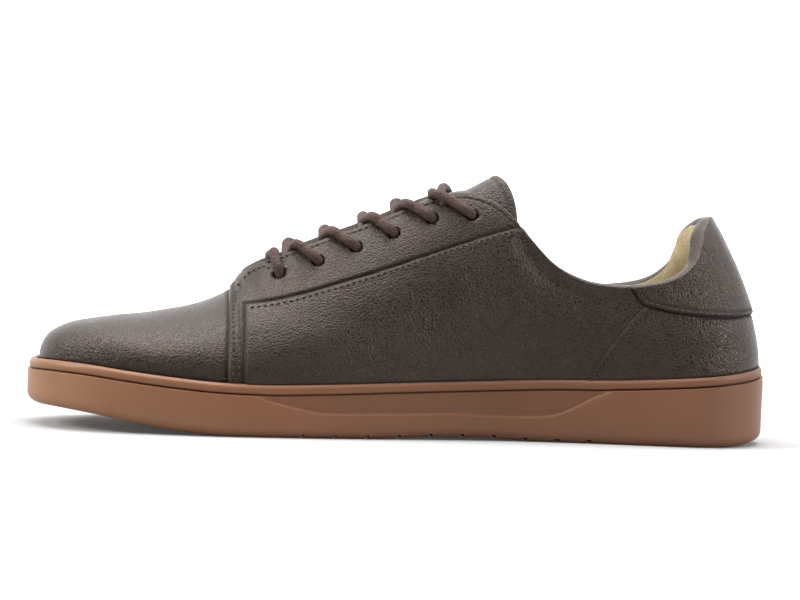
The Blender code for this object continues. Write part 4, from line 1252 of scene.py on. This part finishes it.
def face_of(outer, normal):
    """Points and normals of an outer face, and a tree that finds them in the side view."""
    points, normals = outer.reshape(-1, 3), normal.reshape(-1, 3)
    tree = kdtree.KDTree(len(points))
    for i, (x, _, z) in enumerate(points):
        tree.insert((x, 0, z), i)
    tree.balance()
    return points, normals, tree


def throat_row(side, first, last, from_edge):
    """A row of stitches at a fixed way down from the throat's edge."""
    stations = np.linspace(first, last, 46)
    made = [surface_point(side, t, from_edge, 0.0) for t in stations]
    return np.array([m[0] for m in made]), np.array([m[1] for m in made])


def make_stitches(side, made):
    """All rows of one side, on the outer face that the skin has made."""
    shift = 0.0 if side < 0 else OUTER_SEAM_BACK
    face = face_of(*made)
    rows = []
    front = seam(FRONT_SEAM, shift=shift)
    front = [p for p in front if p[1] < 0.70 * INSTEP_HEIGHT]
    foot = (x_of(FRONT_SEAM[0][0]) + shift, FOXING_HEIGHT * 1.05)
    rows.append(seam_row([foot] + front, ROW_INSIDE, face))
    strip = [foot, (foot[0], 0.30 * INSTEP_HEIGHT), (foot[0], 0.485 * INSTEP_HEIGHT)]
    rows.append(seam_row(strip, ROW_INSIDE + SECOND_ROW, face))
    eye = [p for p in seam(EYESTAY_SEAM) if p[0] > x_of(FRONT_SEAM[0][0]) + FRONT_STRIP + shift]
    rows.append(seam_row(eye, EYE_ROW, face))
    back = [(x_of(0.7330), 0.20 * INSTEP_HEIGHT)] + seam(BACK_SEAM)[:-1]
    rows.append(seam_row(back, BACK_ROW, face))
    tab = seam(TAB_FRONT)[3:] + [p for p in seam(TAB_SEAM)[1:] if p[0] < x_of(0.975)]
    rows.append(seam_row(tab, -TAB_ROW, face))
    rows.append(throat_row(side, *THROAT_ROW, THROAT_ROW_DOWN))
    return stitches("stitches_inner" if side < 0 else "stitches_outer", rows)


def camera():
    """The photo's camera: low, a little from the toe, and rolled."""
    aim = np.array(CAMERA_AIM)
    place = aim + CAMERA_AWAY * np.array([-np.sin(CAMERA_YAW), -np.cos(CAMERA_YAW), 0])
    place[2] = CAMERA_RISE
    away = np.linalg.norm(aim - place)
    ahead = unit(aim - place)
    right = unit(np.cross(ahead, [0, 0, 1]))
    up = np.cross(right, ahead)
    turned = np.cos(CAMERA_ROLL) * right + np.sin(CAMERA_ROLL) * up
    raised = -np.sin(CAMERA_ROLL) * right + np.cos(CAMERA_ROLL) * up
    data = bpy.data.cameras.new("camera")
    obj = new_object("camera", data)
    obj.matrix_world = Matrix([*zip(turned, raised, -ahead, place), (0, 0, 0, 1)])
    data.sensor_width = 36
    data.lens = CAMERA_ZOOM * away * 36 / PHOTO[0]
    data.shift_x = (PHOTO[0] / 2 - CAMERA_CENTRE[0]) / PHOTO[0]
    data.shift_y = (CAMERA_CENTRE[1] - PHOTO[1] / 2) / PHOTO[0]
    bpy.context.scene.camera = obj


LIGHTS = [
    # name, place, aim, width, height, power
    ("stay_soft", (0.0, -0.42, 0.72), (0.0, 0.0, 0.05), 0.6, 0.25, 1.9),
    ("top_soft", (-0.02, 0.08, 0.80), (0.0, 0.0, 0.05), 1.2, 0.38, 13.5),
    ("toe_soft", (-0.90, -0.25, 0.55), (-0.06, 0.0, 0.05), 0.35, 0.35, 8.5),
    ("heel_soft", (0.90, -0.30, 0.42), (0.08, 0.0, 0.05), 0.35, 0.35, 5.0),
]


def area(name, place, aim, width, height, power):
    data = bpy.data.lights.new(name, "AREA")
    data.energy = power
    data.shape = "RECTANGLE"
    data.size, data.size_y = width, height
    obj = new_object(name, data)
    obj.location = place
    obj.rotation_euler = (Vector(aim) - Vector(place)).to_track_quat("-Z", "Y").to_euler()


BOARDS = [
    # name, near and far edge as y and z, grey, glow
    ("floor", (-3.0, 0.0), (0.35, 0.0), 0.45, 0.05),
    ("floor_back", (0.35, 0.0), (1.5, 0.0), 0.8, 1.0),
    ("backdrop", (1.5, -0.5), (1.5, 3.0), 0.8, 1.0),
]


def board(name, near, far, grey, glow):
    """A flat sheet of the studio."""
    mesh = bpy.data.meshes.new(name)
    mesh.from_pydata([(-4, *near), (4, *near), (4, *far), (-4, *far)], [], [(0, 1, 2, 3)])
    obj = new_object(name, mesh)
    mat, _, shader = nodes_for(f"{name}_look")
    settings(shader, {"Base Color": (grey, grey, grey, 1), "Roughness": 0.9, "Specular IOR Level": 0.1})
    settings(shader, {"Emission Color": (1, 1, 1, 1), "Emission Strength": glow})
    mesh.materials.append(mat)


def studio():
    scene = bpy.context.scene
    scene.view_settings.view_transform = "Standard"
    world = bpy.data.worlds.new("studio")
    scene.world = world
    world.use_nodes = True
    settings(world.node_tree.nodes["Background"], {"Color": (1, 1, 1, 1), "Strength": 0.12})
    for sheet in BOARDS:
        board(*sheet)
    for light in LIGHTS:
        area(*light)


# Parts of the frame that the inner skin stands for
INNER_NODES = ("upper", "eyestay_inner", "quarter_inner", "heel_counter", "heel_tab")


def place(obj, looks, slot, *nodes):
    """Gives a piece its materials, hangs it under the root body, and hides the parts of the frame that it
    replaces. The slot is not used.
    """
    if not obj.data.materials:
        for look in looks:
            obj.data.materials.append(look)
    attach(obj, "root")
    if nodes:
        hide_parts(*nodes)


def main():
    camera()
    studio()
    leather = leather_look()
    lining = cloth_look("lining_look", LINING_BEIGE)
    backing = cloth_look("backing_look", BACKING_DARK, sheen=0.05)
    cord = cloth_look("cord_look", LACE_BROWN, 1500.0, strength=1.0, rough=0.7, sheen=0.0, deep=1.2 * MM)
    thread = cloth_look("thread_look", THREAD_BROWN, 4000.0, strength=0.2, rough=0.6, sheen=0.0)
    inner, inner_made = skin(-1, *INNER_MESH)
    outer, outer_made = skin(1, *OUTER_MESH)
    looks = [leather, lining, backing]
    place(inner, looks, "brown_leather", *INNER_NODES)
    place(outer, looks, "brown_leather", "eyestay_outer", "quarter_outer")
    for side, made in ((-1, inner_made), (1, outer_made)):
        place(make_stitches(side, made), [thread], "brown_leather")
    place(make_sole(), [rubber_look()], "gum_rubber", "outsole")
    place(make_insole(), [lining], "beige_lining", "insole")
    place(make_tongue(), [leather, backing], "brown_leather", "tongue")
    for piece, node in make_laces():
        place(piece, [cord], "brown_lace", node)


main()
